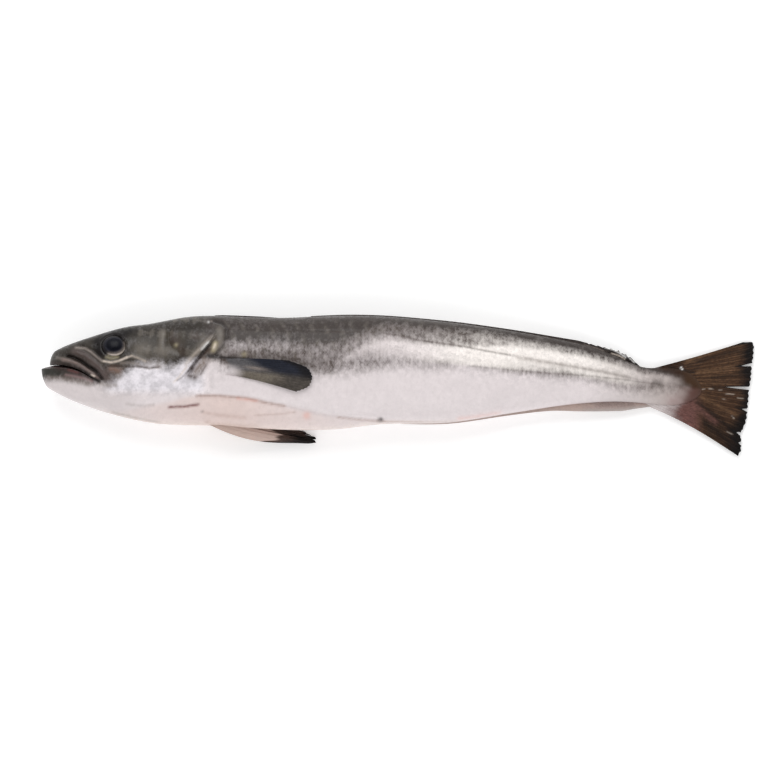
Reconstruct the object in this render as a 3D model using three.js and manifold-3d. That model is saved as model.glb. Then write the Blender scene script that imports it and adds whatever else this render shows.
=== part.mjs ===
// A whole small hake, a slim cod-like fish, lying on its right side with its left side up.
// Millimetres. The head points to -X, the tail to +X, the back to +Y, and the fish rests on Z = 0.
// The origin is under the middle of its box. The fish and its fins are one solid, and each eyeball is
// a ball of its own in its socket.
import * as THREE from "three";
import { mergeVertices } from "three/addons/utils/BufferGeometryUtils.js";
import Module from "manifold-3d";

// ---- Driving dimensions ----------------------------------------------------------------------
// Ends of the fish, and how long each end takes to round off.
const JAW_TIP = -200.2;
const SNOUT_TIP = -195.5;
const MOUTH_CORNER = -166.5;
const BODY_END = 170.3;
const JAW_ROUNDING = 12;
const SNOUT_ROUNDING = 11;
const CHIN_ROUNDING = 4;
const NOSE_ROUNDING = 3.2;
const TAIL_ROUNDING = 17;
const TAIL_THINNING = 6;

// Outlines seen from its side, as [x, y]: the back, the belly, and the widest line of the side, which
// the mouth follows at its front.
const BACK = [
  [-196, 18], [-187, 22.6], [-173, 27.6], [-154, 33.1], [-139, 35.2], [-119, 38.9], [-104, 39.6],
  [-67, 38.5], [-45, 39.3], [-25, 39.8], [0, 38.8], [45, 34], [99, 24.8], [118, 18.8], [137, 11], [150, 10.6],
  [171, 9.4],
];
const BELLY = [
  [-201, 2], [-193, -2.9], [-182, -8.3], [-162, -15.2], [-139, -20.4], [-122, -21.6], [-104, -22],
  [-60, -24.4], [-35, -24], [-10, -21.2], [28, -20.3], [62, -15.2], [96, -10.2], [120, -8.6],
  [140, -9.6], [152, -10.7], [171, -10],
];
const MIDDLE = [
  [-200, 10.7], [-190, 11.3], [-183, 10.4], [-177, 8.1], [-171.5, 4.9], [-166.5, 2.6], [-158, 1.5],
  [-134, 3.4], [-111, 5.6], [-55, 6.4], [56, 8], [112, 4.5], [141, 0.6], [171, -2],
];
// Half the thickness at the widest line, and the height of the fish's middle plane above the table.
// The trunk is a little thicker than that height, so its flesh lies flat there.
const HALF_WIDTH = [
  [-200, 7], [-188, 9.6], [-166, 12.2], [-155, 13.4], [-139, 15.4], [-120, 17.3], [-104, 18.2],
  [-80, 17.8], [-50, 18], [0, 17], [30, 15.2], [60, 12.3], [95, 8.8], [125, 5.6], [140, 4.2],
  [152, 3], [171, 1.5],
];
const MIDPLANE = [
  [-200, 17.2], [-110, 17.2], [-20, 16.5], [30, 14.5], [60, 11.8], [95, 8.4], [125, 5.3],
  [150, 3.5], [200, 1.9],
];
// How square the sections are, as a superellipse's power: over the widest line, and under it.
const SQUARE_ABOVE = [[-200, 2.3], [-165, 2.6], [-120, 2.4], [-80, 2.15], [171, 2]];
const SQUARE_BELOW = [[-200, 2.1], [-120, 2.1], [171, 2]];

// The mouth: how far the lips part, how thick they are, and the hollow between them.
const MOUTH_GAPE = 2.2;
const LIP_THICKNESS = 1.8;
const PALATE_ARCH = 3.2;
const TONGUE_ARCH = 1.6;
const THROAT_DEPTH = 9;

// The gill cover's rear edge: the station of its ring, the [relative height, x] that the edge goes
// through, from the belly at -1 to the back at 1, and the heights of the edge and of the slit behind.
const GILL = {
  station: -115,
  edge: [
    [-1, -133], [-0.6, -129], [-0.1, -124.5], [0.13, -120.5], [0.29, -116], [0.47, -110.5],
    [0.66, -105.2], [0.78, -104], [0.9, -107], [1, -110],
  ],
  lip: 1.3,
  slit: -2.1,
};

// The eyes: the middle of the left one on its side, its half axes, and how far it stands out.
const EYE = { x: -159, y: 22.6, halfLength: 7, halfHeight: 6.3, halfDepth: 3.4, proud: 2 };
const EYE_GAP = 0.3;
const ORBIT = { radius: 7.8, width: 1.3, height: 0.6 };

// Folds and ridges of each side, as lines of [x, y] with a width and a height, which is below 0 for
// a groove.
const SIDE_LINES = [
  // Groove under the maxilla, the long bone over the mouth, and that bone's upper edge.
  { width: 1.3, height: -1.7, line: [[-184, 17.6], [-178, 15.4], [-173, 12.2], [-169, 8.6], [-163, 3.4]] },
  { width: 1.5, height: 0.8, line: [[-183, 20.6], [-177, 21], [-172, 19], [-168, 16], [-164.5, 13.6]] },
  // Ridge of small bones under the eye, with a groove below it.
  {
    width: 1.4,
    height: 0.6,
    line: [[-166, 13], [-160.7, 12.4], [-154, 14.2], [-148, 16.6], [-142, 13.8], [-136, 12.4]],
  },
  { width: 1.3, height: -0.6, line: [[-161, 9.8], [-150, 11.4], [-140, 10.6]] },
  // Preopercle's curved edge on the cheek.
  { width: 2, height: -0.7, line: [[-127.5, 30.5], [-128.6, 23], [-126, 17], [-122, 13]] },
  // Shoulder's fold, round the gill cover's upper corner.
  { width: 1.6, height: -0.9, line: [[-109, 34.4], [-102, 33.8], [-97, 30.5], [-95.8, 25], [-99.5, 19]] },
  // Throat slit and the fold along the belly.
  { width: 1.3, height: -1, line: [[-128, -11.8], [-117, -10.6], [-109, -10.2]] },
  {
    width: 1.4,
    height: -0.9,
    line: [[-116, -4], [-95, -5.7], [-77, -8.2], [-60, -12.2], [-41, -16.2], [-10, -19]],
  },
  // Lateral line.
  {
    width: 1.1,
    height: -0.4,
    line: [[-94, 34], [-60, 31.4], [-30, 31], [10, 26.6], [62, 17.6], [109, 8.7], [129, 4.2], [166, -2.4]],
  },
];
// Round swellings and pits of each side, as [x, y], radius and height.
const SIDE_SPOTS = [
  { at: [-104, 12.4], radius: 5.5, height: 1.1 }, // root of the pectoral fin
  { at: [-142, 20], radius: 9, height: 0.7 }, // cheek muscle
  { at: [-106, -17], radius: 6, height: 1 }, // root of the pelvic fin
  { at: [-10, -18.6], radius: 1.8, height: -1.2 }, // vent
];

// Fins. Each is a sheet of rays: its lower and upper edge start at the root and end at the margin,
// which is a curve over the share across the fin, from 0 at the lower edge to 1 at the upper one.
const RAY_RELIEF = 0.4; // depth of the grooves between rays
const SCALLOP = 0.5; // depth of the margin's scallops between rays
const CAUDAL = {
  rays: 22,
  root: { low: [131, -7.5], high: [140, 9.5] },
  marginX: [
    [0, 191.2], [0.04, 192.7], [0.18, 193.2], [0.3, 195.8], [0.5, 197.2], [0.7, 198.7], [0.88, 200],
    [0.95, 199.6], [1, 193.8],
  ],
  marginY: [[0, -39.4], [0.95, 24.7], [1, 25]],
  bow: { low: 2.6, high: -0.5 },
  thickness: { root: 3, margin: 1.1 },
  // Splits between rays: the share across, half the width of each as a share, and its depth.
  splits: [
    [0.1, 0.012, 1.6], [0.18, 0.014, 2.8], [0.38, 0.012, 2.6], [0.562, 0.013, 13], [0.762, 0.013, 6],
  ],
};
const PECTORAL = {
  rays: 13,
  root: { low: [-110, 9], high: [-110.5, 14.8] },
  marginX: [[0, -57], [0.25, -50.5], [0.5, -48], [0.75, -50.8], [1, -61]],
  marginY: [[0, -3], [0.25, -0.4], [0.5, 4.8], [0.75, 10.4], [1, 14.5]],
  bow: { low: 1.4, high: 1 },
  thickness: { root: 2.4, margin: 1.1 },
  lift: 1.6,
  sink: 2,
};
const PELVIC = {
  rays: 8,
  root: { low: [-113.5, -17.6], high: [-111.5, -12] },
  marginX: [[0, -59], [0.15, -49.6], [0.3, -46], [0.55, -51], [0.8, -54.8], [1, -59]],
  marginY: [[0, -31.9], [0.15, -32.1], [0.3, -31.2], [0.55, -28.3], [0.8, -25.5], [1, -23.2]],
  bow: { low: -4.4, high: -0.8 },
  thickness: { root: 2.6, margin: 1.1 },
  // Height of each side's fin over the table, over the share of its length.
  leftZ: [[0, 24], [0.35, 18.5], [0.7, 9], [1, 4.5]],
  rightZ: [[0, 11], [0.3, 5], [0.6, 1.6], [1, 0.9]],
};
// Folded fins of the back and belly: where each starts and ends, how far its rays lean to the tail,
// and its height out of the body over x.
const FOLDED_FINS = {
  firstDorsal: {
    along: BACK, out: 1, rays: 10, from: -108, to: -66, lean: 5, sink: 2.6, thickness: 2.4,
    height: [[-109, -0.6], [-102, 0.3], [-90, 0.5], [-76, 0.4], [-58, -0.6]],
  },
  secondDorsal: {
    along: BACK, out: 1, rays: 22, from: -56, to: 127, lean: 7, sink: 2.6, thickness: 2.2,
    height: [
      [-58, 0.2], [-40, 0.4], [20, 0.5], [80, 0.8], [96, 1.2], [110, 2], [124, 4.1], [130, 3.6], [136, -0.4],
    ],
  },
  anal: {
    along: BELLY, out: -1, rays: 22, from: -6, to: 130, lean: 7, sink: 2.6, thickness: 2.2,
    height: [[-8, -0.6], [4, 0.2], [60, 1], [84, 2], [104, 4.6], [124, 5.2], [132, 2.8], [141, 0.4]],
  },
};

// The flesh sinks this far into the table, which trims it flat, but the right pectoral fin lies
// between the two and holds the skin up over an oval.
const TABLE_SINK = 0.6;
const HELD_UP = { x: -78, y: 6.5, halfLength: 34, halfHeight: 14, height: 1 };

// How finely the skin is divided.
const JAW_STEPS = 11; // rings from a jaw's tip to the mouth's corner
const CHEEK_STEPS = 23; // rings from there to the gill cover's edge
const GILL_STEPS = [-2.6, -1.2, 0, 0.9, 2, 4]; // rings about that edge, as distances from it
const SHOULDER_STEPS = 8; // rings from there to the shoulder
const TRUNK_STEPS = 22; // rings from the shoulder to the tail
const TAIL_STEPS = 6;
const SHOULDER = -84;
// Points of a ring over and under the widest line. The right side, which lies down, has fewer.
const ROWS = { over: { left: 16, right: 8 }, under: { left: 10, right: 6 } };
const ROW_SKEW = 1.15;
const INNER_POINTS = 5; // points across the palate, and across the floor of the mouth

// ---- Curves ----------------------------------------------------------------------------------
const clamp = (value, low, high) => Math.min(high, Math.max(low, value));
const mix = (a, b, share) => a + (b - a) * share;

// A smooth curve through [x, value] points, as cubic pieces whose slopes come from their neighbours.
function curve(points) {
  const slopes = points.map((_, i) => {
    const before = points[Math.max(0, i - 1)];
    const after = points[Math.min(points.length - 1, i + 1)];
    return (after[1] - before[1]) / (after[0] - before[0]);
  });
  return (x) => {
    let i = 0;
    while (i < points.length - 2 && x > points[i + 1][0]) i += 1;
    const span = points[i + 1][0] - points[i][0];
    const t = clamp((x - points[i][0]) / span, 0, 1);
    return (
      (2 * t ** 3 - 3 * t ** 2 + 1) * points[i][1] +
      (t ** 3 - 2 * t ** 2 + t) * span * slopes[i] +
      (3 * t ** 2 - 2 * t ** 3) * points[i + 1][1] +
      (t ** 3 - t ** 2) * span * slopes[i + 1]
    );
  };
}

// A quarter of an ellipse: 0 at an end of the fish and 1 once the distance from it is the length.
const rounding = (distance, length) => Math.sqrt(1 - (1 - clamp(distance / length, 0, 1)) ** 2);

const back = curve(BACK);
const belly = curve(BELLY);
const middle = curve(MIDDLE);
const halfWidth = curve(HALF_WIDTH);
const midplane = curve(MIDPLANE);
const squareAbove = curve(SQUARE_ABOVE);
const squareBelow = curve(SQUARE_BELOW);
const gillEdge = curve(GILL.edge);

// ---- Relief of the skin ----------------------------------------------------------------------
// Distance from a point to a line of points.
function distanceToLine(x, y, line) {
  let nearest = Infinity;
  for (let i = 0; i + 1 < line.length; i += 1) {
    const [ax, ay] = line[i];
    const [bx, by] = line[i + 1];
    const square = (bx - ax) ** 2 + (by - ay) ** 2;
    const along = clamp(((x - ax) * (bx - ax) + (y - ay) * (by - ay)) / square, 0, 1);
    nearest = Math.min(nearest, Math.hypot(x - mix(ax, bx, along), y - mix(ay, by, along)));
  }
  return nearest;
}

// Bell shape: 1 at no distance, and nearly 0 at two widths.
const bell = (distance, width) => Math.exp(-((distance / width) ** 2));

// How far the skin stands out at a point of the side: the sum of bell-shaped lines and spots.
function relief(x, y) {
  let sum = ORBIT.height * bell(Math.hypot(x - EYE.x, y - EYE.y) - ORBIT.radius, ORBIT.width);
  for (const { line, width, height } of SIDE_LINES) sum += height * bell(distanceToLine(x, y, line), width);
  for (const { at, radius, height } of SIDE_SPOTS)
    sum += height * bell(Math.hypot(x - at[0], y - at[1]), radius);
  return sum;
}

// The gill cover's edge and slit, at a distance behind that edge and a relative height.
function gillRelief(behind, level) {
  const fade = clamp((0.95 - level) / 0.2, 0, 1) * clamp((level + 0.9) / 0.4, 0, 1);
  return fade * (GILL.lip * bell(behind + 1, 1.8) + GILL.slit * bell(behind - 0.9, 0.9));
}

// Lowest height of the right side's skin, a little under the table or over the pectoral fin.
function lowest(x, y) {
  const far = Math.hypot((x - HELD_UP.x) / HELD_UP.halfLength, (y - HELD_UP.y) / HELD_UP.halfHeight);
  return mix(-TABLE_SINK, HELD_UP.height, clamp((1.15 - far) / 0.15, 0, 1));
}

// ---- Sections --------------------------------------------------------------------------------
const isJaw = (x) => x < MOUTH_CORNER;
const gape = (x) => MOUTH_GAPE * clamp((MOUTH_CORNER - x) / (MOUTH_CORNER - SNOUT_TIP), 0, 1) ** 0.7;

// Half section over (side 1) or under (side -1) the widest line: its middle height, reach and power.
function halfSection(x, side) {
  const tip = side > 0 ? SNOUT_TIP : JAW_TIP;
  const front = side > 0 ? SNOUT_ROUNDING : JAW_ROUNDING;
  const tall = side > 0 ? NOSE_ROUNDING : CHIN_ROUNDING;
  const y = middle(x) + (isJaw(x) ? (side * gape(x)) / 2 : 0);
  const outline = side > 0 ? back(x) : belly(x);
  return {
    y,
    reach: (outline - y) * rounding(x - tip, tall) * rounding(BODY_END - x, TAIL_ROUNDING),
    width: halfWidth(x) * rounding(x - tip, front) * rounding(BODY_END - x, TAIL_THINNING),
    power: side > 0 ? squareAbove(x) : squareBelow(x),
  };
}

// Rings between the mouth's corner and the shoulder lean to follow the gill cover's edge.
function leaningX(station, level) {
  const end = station < GILL.station ? MOUTH_CORNER : SHOULDER;
  const share = clamp((station - end) / (GILL.station - end), 0, 1);
  return station + share * (gillEdge(level) - GILL.station);
}

// Skin point of a station's ring. Row is the relative height, 0 at the widest line and 1 at the
// back or belly, side is 1 over the line or -1 under it, and hand is 1 on the left or -1.
function skinPoint(station, row, side, hand) {
  const x = leaningX(station, side * row);
  const { y, reach, width, power } = halfSection(x, side);
  const out = (1 - row ** power) ** (1 / power);
  const point = new THREE.Vector3(x, y + reach * row, hand * width * out);
  const outwards = new THREE.Vector3(
    0,
    (Math.sign(reach) * row ** (power - 1)) / Math.max(Math.abs(reach), 0.1),
    (hand * out ** (power - 1)) / Math.max(width, 0.1),
  ).normalize();
  const fade = clamp(width / 6, 0, 1) * clamp(out * 3, 0, 1);
  const height = relief(x, point.y) + gillRelief(station - GILL.station, side * row);
  point.addScaledVector(outwards, height * fade);
  point.z += midplane(x);
  if (hand < 0) point.z = Math.max(point.z, lowest(x, point.y));
  return point;
}

// Point of the mouth's lining: an arch from the left inner lip to the right one.
function liningPoint(x, share, side, shrink = 1) {
  const station = Math.min(x, MOUTH_CORNER);
  const { y, width } = halfSection(station, side);
  const inner = Math.max(width - LIP_THICKNESS, width * 0.2) * shrink;
  const arch = Math.sin(Math.PI * share);
  const rise = side > 0 ? PALATE_ARCH : TONGUE_ARCH;
  const fade = clamp(width / 8, 0, 1) * shrink;
  return new THREE.Vector3(x, y + rise * arch * fade, midplane(x) + inner * Math.cos(Math.PI * share));
}

const evenly = (from, to, steps) => Array.from({ length: steps + 1 }, (_, i) => mix(from, to, i / steps));
// Places from a rounded tip: close together at the tip, then even.
const fromTip = (tip, end, steps) => evenly(0, 1, steps).map((t) => mix(tip, end, t ** 2 * (2 - t)));

// Relative heights of a side's rows, closer together near the widest line and the back or belly.
const rows = (count) => evenly(0, 1, count).map((t) => Math.sin((Math.PI / 2) * t ** ROW_SKEW));

// Half a ring's skin, from the left widest line over the back, or under the belly, to the right one.
function outerHalf(station, side) {
  const { left, right } = side > 0 ? ROWS.over : ROWS.under;
  return [
    ...rows(left).map((row) => skinPoint(station, row, side, 1)),
    ...rows(right).reverse().slice(1).map((row) => skinPoint(station, row, side, -1)),
  ];
}

const liningHalf = (x, side, shrink) =>
  evenly(0, 1, INNER_POINTS).map((share) => liningPoint(x, share, side, shrink));

// Closed ring of a jaw: its skin from left to right, then its lining back.
const jawRing = (x, side) => [...outerHalf(x, side), ...liningHalf(x, side, 1).reverse()];
// Closed ring of the trunk: the upper half to the right, then the lower half back to the left.
const trunkRing = (station) => [...outerHalf(station, 1), ...outerHalf(station, -1).reverse().slice(1, -1)];
// Closed ring of the throat, which turns the other way because its skin faces inwards.
const throatRing = (x, shrink) =>
  [...liningHalf(x, 1, shrink), ...liningHalf(x, -1, shrink).reverse().slice(1, -1)].reverse();

// Stations of the trunk's rings, from the mouth's corner to the tail.
function trunkStations() {
  const gillRings = GILL_STEPS.map((step) => GILL.station + step);
  const tail = BODY_END - TAIL_ROUNDING;
  return [
    ...evenly(MOUTH_CORNER, gillRings[0], CHEEK_STEPS),
    ...gillRings.slice(1),
    ...evenly(gillRings.at(-1), SHOULDER, SHOULDER_STEPS).slice(1),
    ...evenly(SHOULDER, tail, TRUNK_STEPS).slice(1),
    ...fromTip(BODY_END, tail, TAIL_STEPS).reverse().slice(1),
  ];
}

// ---- Meshes ----------------------------------------------------------------------------------
// Triangles between rings of the same length. Split quads alternate so both faces bend alike.
function joinRings(rings, triangles, turned = false) {
  for (let i = 0; i + 1 < rings.length; i += 1)
    for (let j = 0; j < rings[i].length; j += 1) {
      const k = (j + 1) % rings[i].length;
      const corners = [rings[i][j], rings[i][k], rings[i + 1][k], rings[i + 1][j]];
      if (turned) corners.reverse();
      const [a, b, c, d] = corners;
      triangles.push(a, b, c, a, c, d);
    }
}

// Drops triangles that have no area, so a ring may shrink to a point.
function solidFrom(triangles, wasm) {
  const geometry = new THREE.BufferGeometry().setFromPoints(triangles);
  const merged = mergeVertices(geometry, 1e-3);
  const kept = [];
  const index = merged.index.array;
  for (let i = 0; i < index.length; i += 3) {
    const [a, b, c] = index.subarray(i, i + 3);
    if (a !== b && b !== c && a !== c) kept.push(a, b, c);
  }
  return new wasm.Manifold(
    new wasm.Mesh({
      numProp: 3,
      vertProperties: merged.attributes.position.array,
      triVerts: new Uint32Array(kept),
    }),
  );
}

// Triangle corners of a geometry that has no index.
const cornersOf = (points) =>
  Array.from({ length: points.count }, (_, i) => new THREE.Vector3().fromBufferAttribute(points, i));

// The skin: two jaws that meet at the mouth's corner, the trunk behind, and the throat inside.
function bodyTriangles() {
  const triangles = [];
  const upper = fromTip(SNOUT_TIP, MOUTH_CORNER, JAW_STEPS).map((x) => jawRing(x, 1));
  const lower = fromTip(JAW_TIP, MOUTH_CORNER, JAW_STEPS).map((x) => jawRing(x, -1));
  const throat = evenly(0, 1, 3).map((share) =>
    throatRing(MOUTH_CORNER + THROAT_DEPTH * share, Math.sqrt(Math.max(0, 1 - share ** 2))),
  );
  joinRings(upper, triangles, true);
  joinRings(lower, triangles);
  joinRings(trunkStations().map(trunkRing), triangles, true);
  joinRings(throat, triangles, true);
  return triangles;
}

// A closed sheet whose middle is mid(along, across), with its thickness split over Z. Along runs
// down the rays from 0 to 1, and across from ray to ray.
function sheet(alongSteps, acrossShares, mid, thickness) {
  const side = (sign) =>
    evenly(0, 1, alongSteps).map((along) =>
      acrossShares.map((across) => {
        const point = mid(along, across);
        point.z += (sign * thickness(along, across)) / 2;
        return point;
      }),
    );
  const top = side(1);
  const bottom = side(-1);
  const triangles = [];
  const quad = (a, b, c, d) => triangles.push(a, b, c, a, c, d);
  for (let i = 0; i < alongSteps; i += 1)
    for (let j = 0; j + 1 < acrossShares.length; j += 1) {
      quad(top[i][j], top[i + 1][j], top[i + 1][j + 1], top[i][j + 1]);
      quad(bottom[i][j], bottom[i][j + 1], bottom[i + 1][j + 1], bottom[i + 1][j]);
    }
  const last = acrossShares.length - 1;
  for (let i = 0; i < alongSteps; i += 1) {
    quad(top[i][0], bottom[i][0], bottom[i + 1][0], top[i + 1][0]);
    quad(top[i][last], top[i + 1][last], bottom[i + 1][last], bottom[i][last]);
  }
  for (let j = 0; j < last; j += 1) {
    quad(top[0][j], top[0][j + 1], bottom[0][j + 1], bottom[0][j]);
    quad(top[alongSteps][j], bottom[alongSteps][j], bottom[alongSteps][j + 1], top[alongSteps][j + 1]);
  }
  return triangles;
}

// ---- Fins ------------------------------------------------------------------------------------
// Thickness of a rayed fin: thinner to its margin, with a ridge on each ray.
const rayed = (fin) => (along, across) =>
  mix(fin.thickness.root, fin.thickness.margin, along ** 0.5) +
  RAY_RELIEF * (Math.cos(2 * Math.PI * fin.rays * across) - 1) * 0.5 * along;

// Plan of a fan-shaped fin: straight rays from its root to its margin, with bowed edges.
function fan(fin) {
  const marginX = curve(fin.marginX);
  const marginY = curve(fin.marginY);
  const splits = fin.splits || [];
  return (along, across) => {
    const root = [0, 1].map((k) => mix(fin.root.low[k], fin.root.high[k], across));
    const reachX = marginX(across) - root[0];
    const cuts = splits.map(([at, half, depth]) => depth * clamp(1 - Math.abs(across - at) / half, 0, 1));
    const scallop = SCALLOP * (1 - Math.cos(2 * Math.PI * fin.rays * across)) * 0.5;
    const reach = along * (1 - (Math.max(0, ...cuts) + scallop) / reachX);
    const bow = fin.bow.high * across ** 3 + fin.bow.low * (1 - across) ** 3;
    const y = mix(root[1], marginY(across), reach) + bow * Math.sin(Math.PI * reach);
    return new THREE.Vector3(root[0] + reachX * reach, y, 0);
  };
}

// Shares across a fan, two for each ray, with the mouth and the bottom of each split added.
function sharesAcross(fin) {
  const added = (fin.splits || []).flatMap(([at, half]) => [at - half, at, at + half]);
  const even = evenly(0, 1, fin.rays * 2).filter((s) => added.every((a) => Math.abs(a - s) > 0.008));
  return [...even, ...added].sort((a, b) => a - b);
}

function caudalFin() {
  const plan = fan(CAUDAL);
  const mid = (along, across) => {
    const point = plan(along, across);
    point.z = mix(midplane(150), 1.7, along ** 0.7) + 0.5 * Math.sin(9 * across + 2 * along) * along;
    return point;
  };
  return sheet(5, sharesAcross(CAUDAL), mid, rayed(CAUDAL));
}

// Height of the left flank over the table at a point of the side, without its relief.
function flank(x, yAt) {
  const { y, reach, width, power } = halfSection(x, yAt > middle(x) ? 1 : -1);
  const up = clamp(Math.abs((yAt - y) / reach), 0, 1);
  return midplane(x) + width * (1 - up ** power) ** (1 / power);
}

function pectoralFin(left) {
  const plan = fan(PECTORAL);
  const mid = (along, across) => {
    const point = plan(along, across);
    point.z = left
      ? flank(point.x, point.y) + PECTORAL.lift * along ** 1.5 - PECTORAL.sink * (1 - along) ** 8
      : HELD_UP.height - PECTORAL.thickness.margin / 2 + 0.2;
    return point;
  };
  return sheet(left ? 6 : 3, sharesAcross(PECTORAL), mid, rayed(PECTORAL));
}

function pelvicFin(left) {
  const plan = fan(PELVIC);
  const height = curve(left ? PELVIC.leftZ : PELVIC.rightZ);
  const mid = (along, across) => {
    const point = plan(along, across);
    // The right fin lies a little further in, under the left one.
    if (!left) point.y = mix(point.y, middle(point.x), 0.05 * along);
    point.z = height(along);
    return point;
  };
  return sheet(left ? 6 : 4, sharesAcross(PELVIC), mid, rayed(PELVIC));
}

// A median fin folded down along the body: its rays lean to the tail, and a ridge of it stands out.
function foldedFin({ along: outline, out, rays, from, to, lean, sink, thickness, height }) {
  const edge = curve(outline);
  const stands = curve(height);
  const mid = (along, across) => {
    const x = mix(from, to, out > 0 ? 1 - across : across) + lean * along;
    const y = edge(x) + out * mix(-sink, stands(x), along);
    return new THREE.Vector3(x, y, midplane(x));
  };
  const thick = (along, across) =>
    mix(thickness, thickness * 0.5, along) + RAY_RELIEF * Math.cos(2 * Math.PI * rays * across) * along;
  return sheet(1, evenly(0, 1, rays * 2), mid, thick);
}

// ---- Eyes ------------------------------------------------------------------------------------
// An eyeball on the left or right side, grown by a gap. It looks out square to the skin there.
function eyeball(left, gap, wasm) {
  const { y, reach, width, power } = halfSection(EYE.x, 1);
  const up = (EYE.y - y) / reach;
  const out = (1 - up ** power) ** (1 / power);
  const tilt = Math.atan2(up ** (power - 1) / reach, out ** (power - 1) / width);
  const sunk = EYE.halfDepth - EYE.proud;
  const hand = left ? 1 : -1;
  const geometry = new THREE.SphereGeometry(1, 16, 10);
  geometry.deleteAttribute("normal");
  geometry.deleteAttribute("uv");
  const place = new THREE.Matrix4().compose(
    new THREE.Vector3(
      EYE.x,
      EYE.y - sunk * Math.sin(tilt),
      midplane(EYE.x) + hand * (width * out - sunk * Math.cos(tilt)),
    ),
    new THREE.Quaternion().setFromAxisAngle(new THREE.Vector3(1, 0, 0), -hand * tilt),
    new THREE.Vector3(EYE.halfLength + gap, EYE.halfHeight + gap, EYE.halfDepth + gap),
  );
  const points = geometry.toNonIndexed().applyMatrix4(place).attributes.position;
  return solidFrom(cornersOf(points), wasm);
}

// ---- The fish --------------------------------------------------------------------------------
function geometryOf(solid) {
  const { vertProperties, triVerts, numProp } = solid.getMesh();
  const positions = new Float32Array((vertProperties.length / numProp) * 3);
  for (let i = 0; i < positions.length / 3; i += 1)
    positions.set(vertProperties.subarray(i * numProp, i * numProp + 3), i * 3);
  const geometry = new THREE.BufferGeometry();
  geometry.setAttribute("position", new THREE.BufferAttribute(positions, 3));
  geometry.setIndex(new THREE.BufferAttribute(triVerts, 1));
  geometry.computeVertexNormals();
  return geometry;
}

// Everything over the table, as one block to keep the fish from reaching under it.
function overTheTable(wasm) {
  const height = 100;
  const block = new THREE.BoxGeometry(500, 200, height).translate(0, 0, height / 2).toNonIndexed();
  return solidFrom(cornersOf(block.attributes.position), wasm);
}

function hakeSolid(wasm) {
  const fins = [
    caudalFin(),
    pectoralFin(true),
    pectoralFin(false),
    pelvicFin(true),
    pelvicFin(false),
    ...Object.values(FOLDED_FINS).map(foldedFin),
  ];
  let fish = solidFrom(bodyTriangles(), wasm);
  for (const fin of fins) fish = fish.add(solidFrom(fin, wasm));
  for (const left of [true, false]) fish = fish.subtract(eyeball(left, EYE_GAP, wasm));
  return fish.intersect(overTheTable(wasm));
}

function named(name, solid, look) {
  const mesh = new THREE.Mesh(geometryOf(solid), new THREE.MeshStandardMaterial(look));
  mesh.name = name;
  return mesh;
}

const wasm = await Module();
wasm.setup();

const hake = new THREE.Group();
hake.add(named("hake", hakeSolid(wasm), { color: 0x9b9692, roughness: 0.35, metalness: 0.25 }));
for (const left of [true, false]) {
  const name = left ? "eye_left" : "eye_right";
  hake.add(named(name, eyeball(left, 0, wasm), { color: 0x191a20, roughness: 0.12, metalness: 0 }));
}

export default hake;
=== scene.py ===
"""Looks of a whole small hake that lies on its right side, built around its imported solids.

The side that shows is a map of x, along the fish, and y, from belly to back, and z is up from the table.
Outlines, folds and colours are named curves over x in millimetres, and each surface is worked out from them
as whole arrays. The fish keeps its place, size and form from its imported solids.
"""

import functools
import math

import bpy
import numpy as np
from bpy.props import FloatProperty, FloatVectorProperty, IntProperty, PointerProperty
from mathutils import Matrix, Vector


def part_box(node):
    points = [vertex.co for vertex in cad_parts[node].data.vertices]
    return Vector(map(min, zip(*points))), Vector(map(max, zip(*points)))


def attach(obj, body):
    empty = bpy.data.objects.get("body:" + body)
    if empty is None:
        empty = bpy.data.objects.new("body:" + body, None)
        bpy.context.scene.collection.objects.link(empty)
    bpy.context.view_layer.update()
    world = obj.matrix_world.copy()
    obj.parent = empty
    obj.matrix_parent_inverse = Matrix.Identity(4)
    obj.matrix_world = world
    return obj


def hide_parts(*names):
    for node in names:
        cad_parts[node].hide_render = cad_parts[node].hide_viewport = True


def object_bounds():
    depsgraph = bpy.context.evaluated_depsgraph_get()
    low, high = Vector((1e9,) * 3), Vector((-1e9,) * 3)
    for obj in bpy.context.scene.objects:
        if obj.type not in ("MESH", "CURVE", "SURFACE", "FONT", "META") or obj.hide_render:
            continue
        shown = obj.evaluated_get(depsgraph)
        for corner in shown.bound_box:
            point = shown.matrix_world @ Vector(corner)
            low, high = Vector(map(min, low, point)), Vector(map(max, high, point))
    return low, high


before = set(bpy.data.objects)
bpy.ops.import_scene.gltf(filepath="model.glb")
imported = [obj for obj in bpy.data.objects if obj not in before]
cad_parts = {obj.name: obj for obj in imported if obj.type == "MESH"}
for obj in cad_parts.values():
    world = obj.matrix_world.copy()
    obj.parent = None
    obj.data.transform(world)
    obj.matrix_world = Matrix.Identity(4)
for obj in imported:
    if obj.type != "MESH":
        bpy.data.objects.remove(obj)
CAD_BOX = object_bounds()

bl_info = {
    "name": "Small hake",
    "version": (1, 0, 0),
    "blender": (4, 5, 0),
    "location": "3D View > Sidebar > Hake",
    "description": "Skin, fins and eyes of a whole small hake, with its table and light",
    "category": "Object",
}

MM = 0.001
MERGED_WITHIN = 2e-4  # millimetres
WAVE_COUNT = 5
FIN_SHARP_ANGLE = 50  # degrees

# ---- The fish's shape, in millimetres, as its solid has it -------------------------------------
JAW_TIP = -200.2
SNOUT_TIP = -195.5
MOUTH_CORNER = -166.5
BODY_END = 170.3
JAW_ROUNDING = 12
SNOUT_ROUNDING = 11
CHIN_ROUNDING = 4
NOSE_ROUNDING = 3.2
TAIL_ROUNDING = 17
TAIL_THINNING = 6
LEAST_HALF = 0.1  # half sizes that a normal is worked out from
SHOULDER = -84

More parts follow.
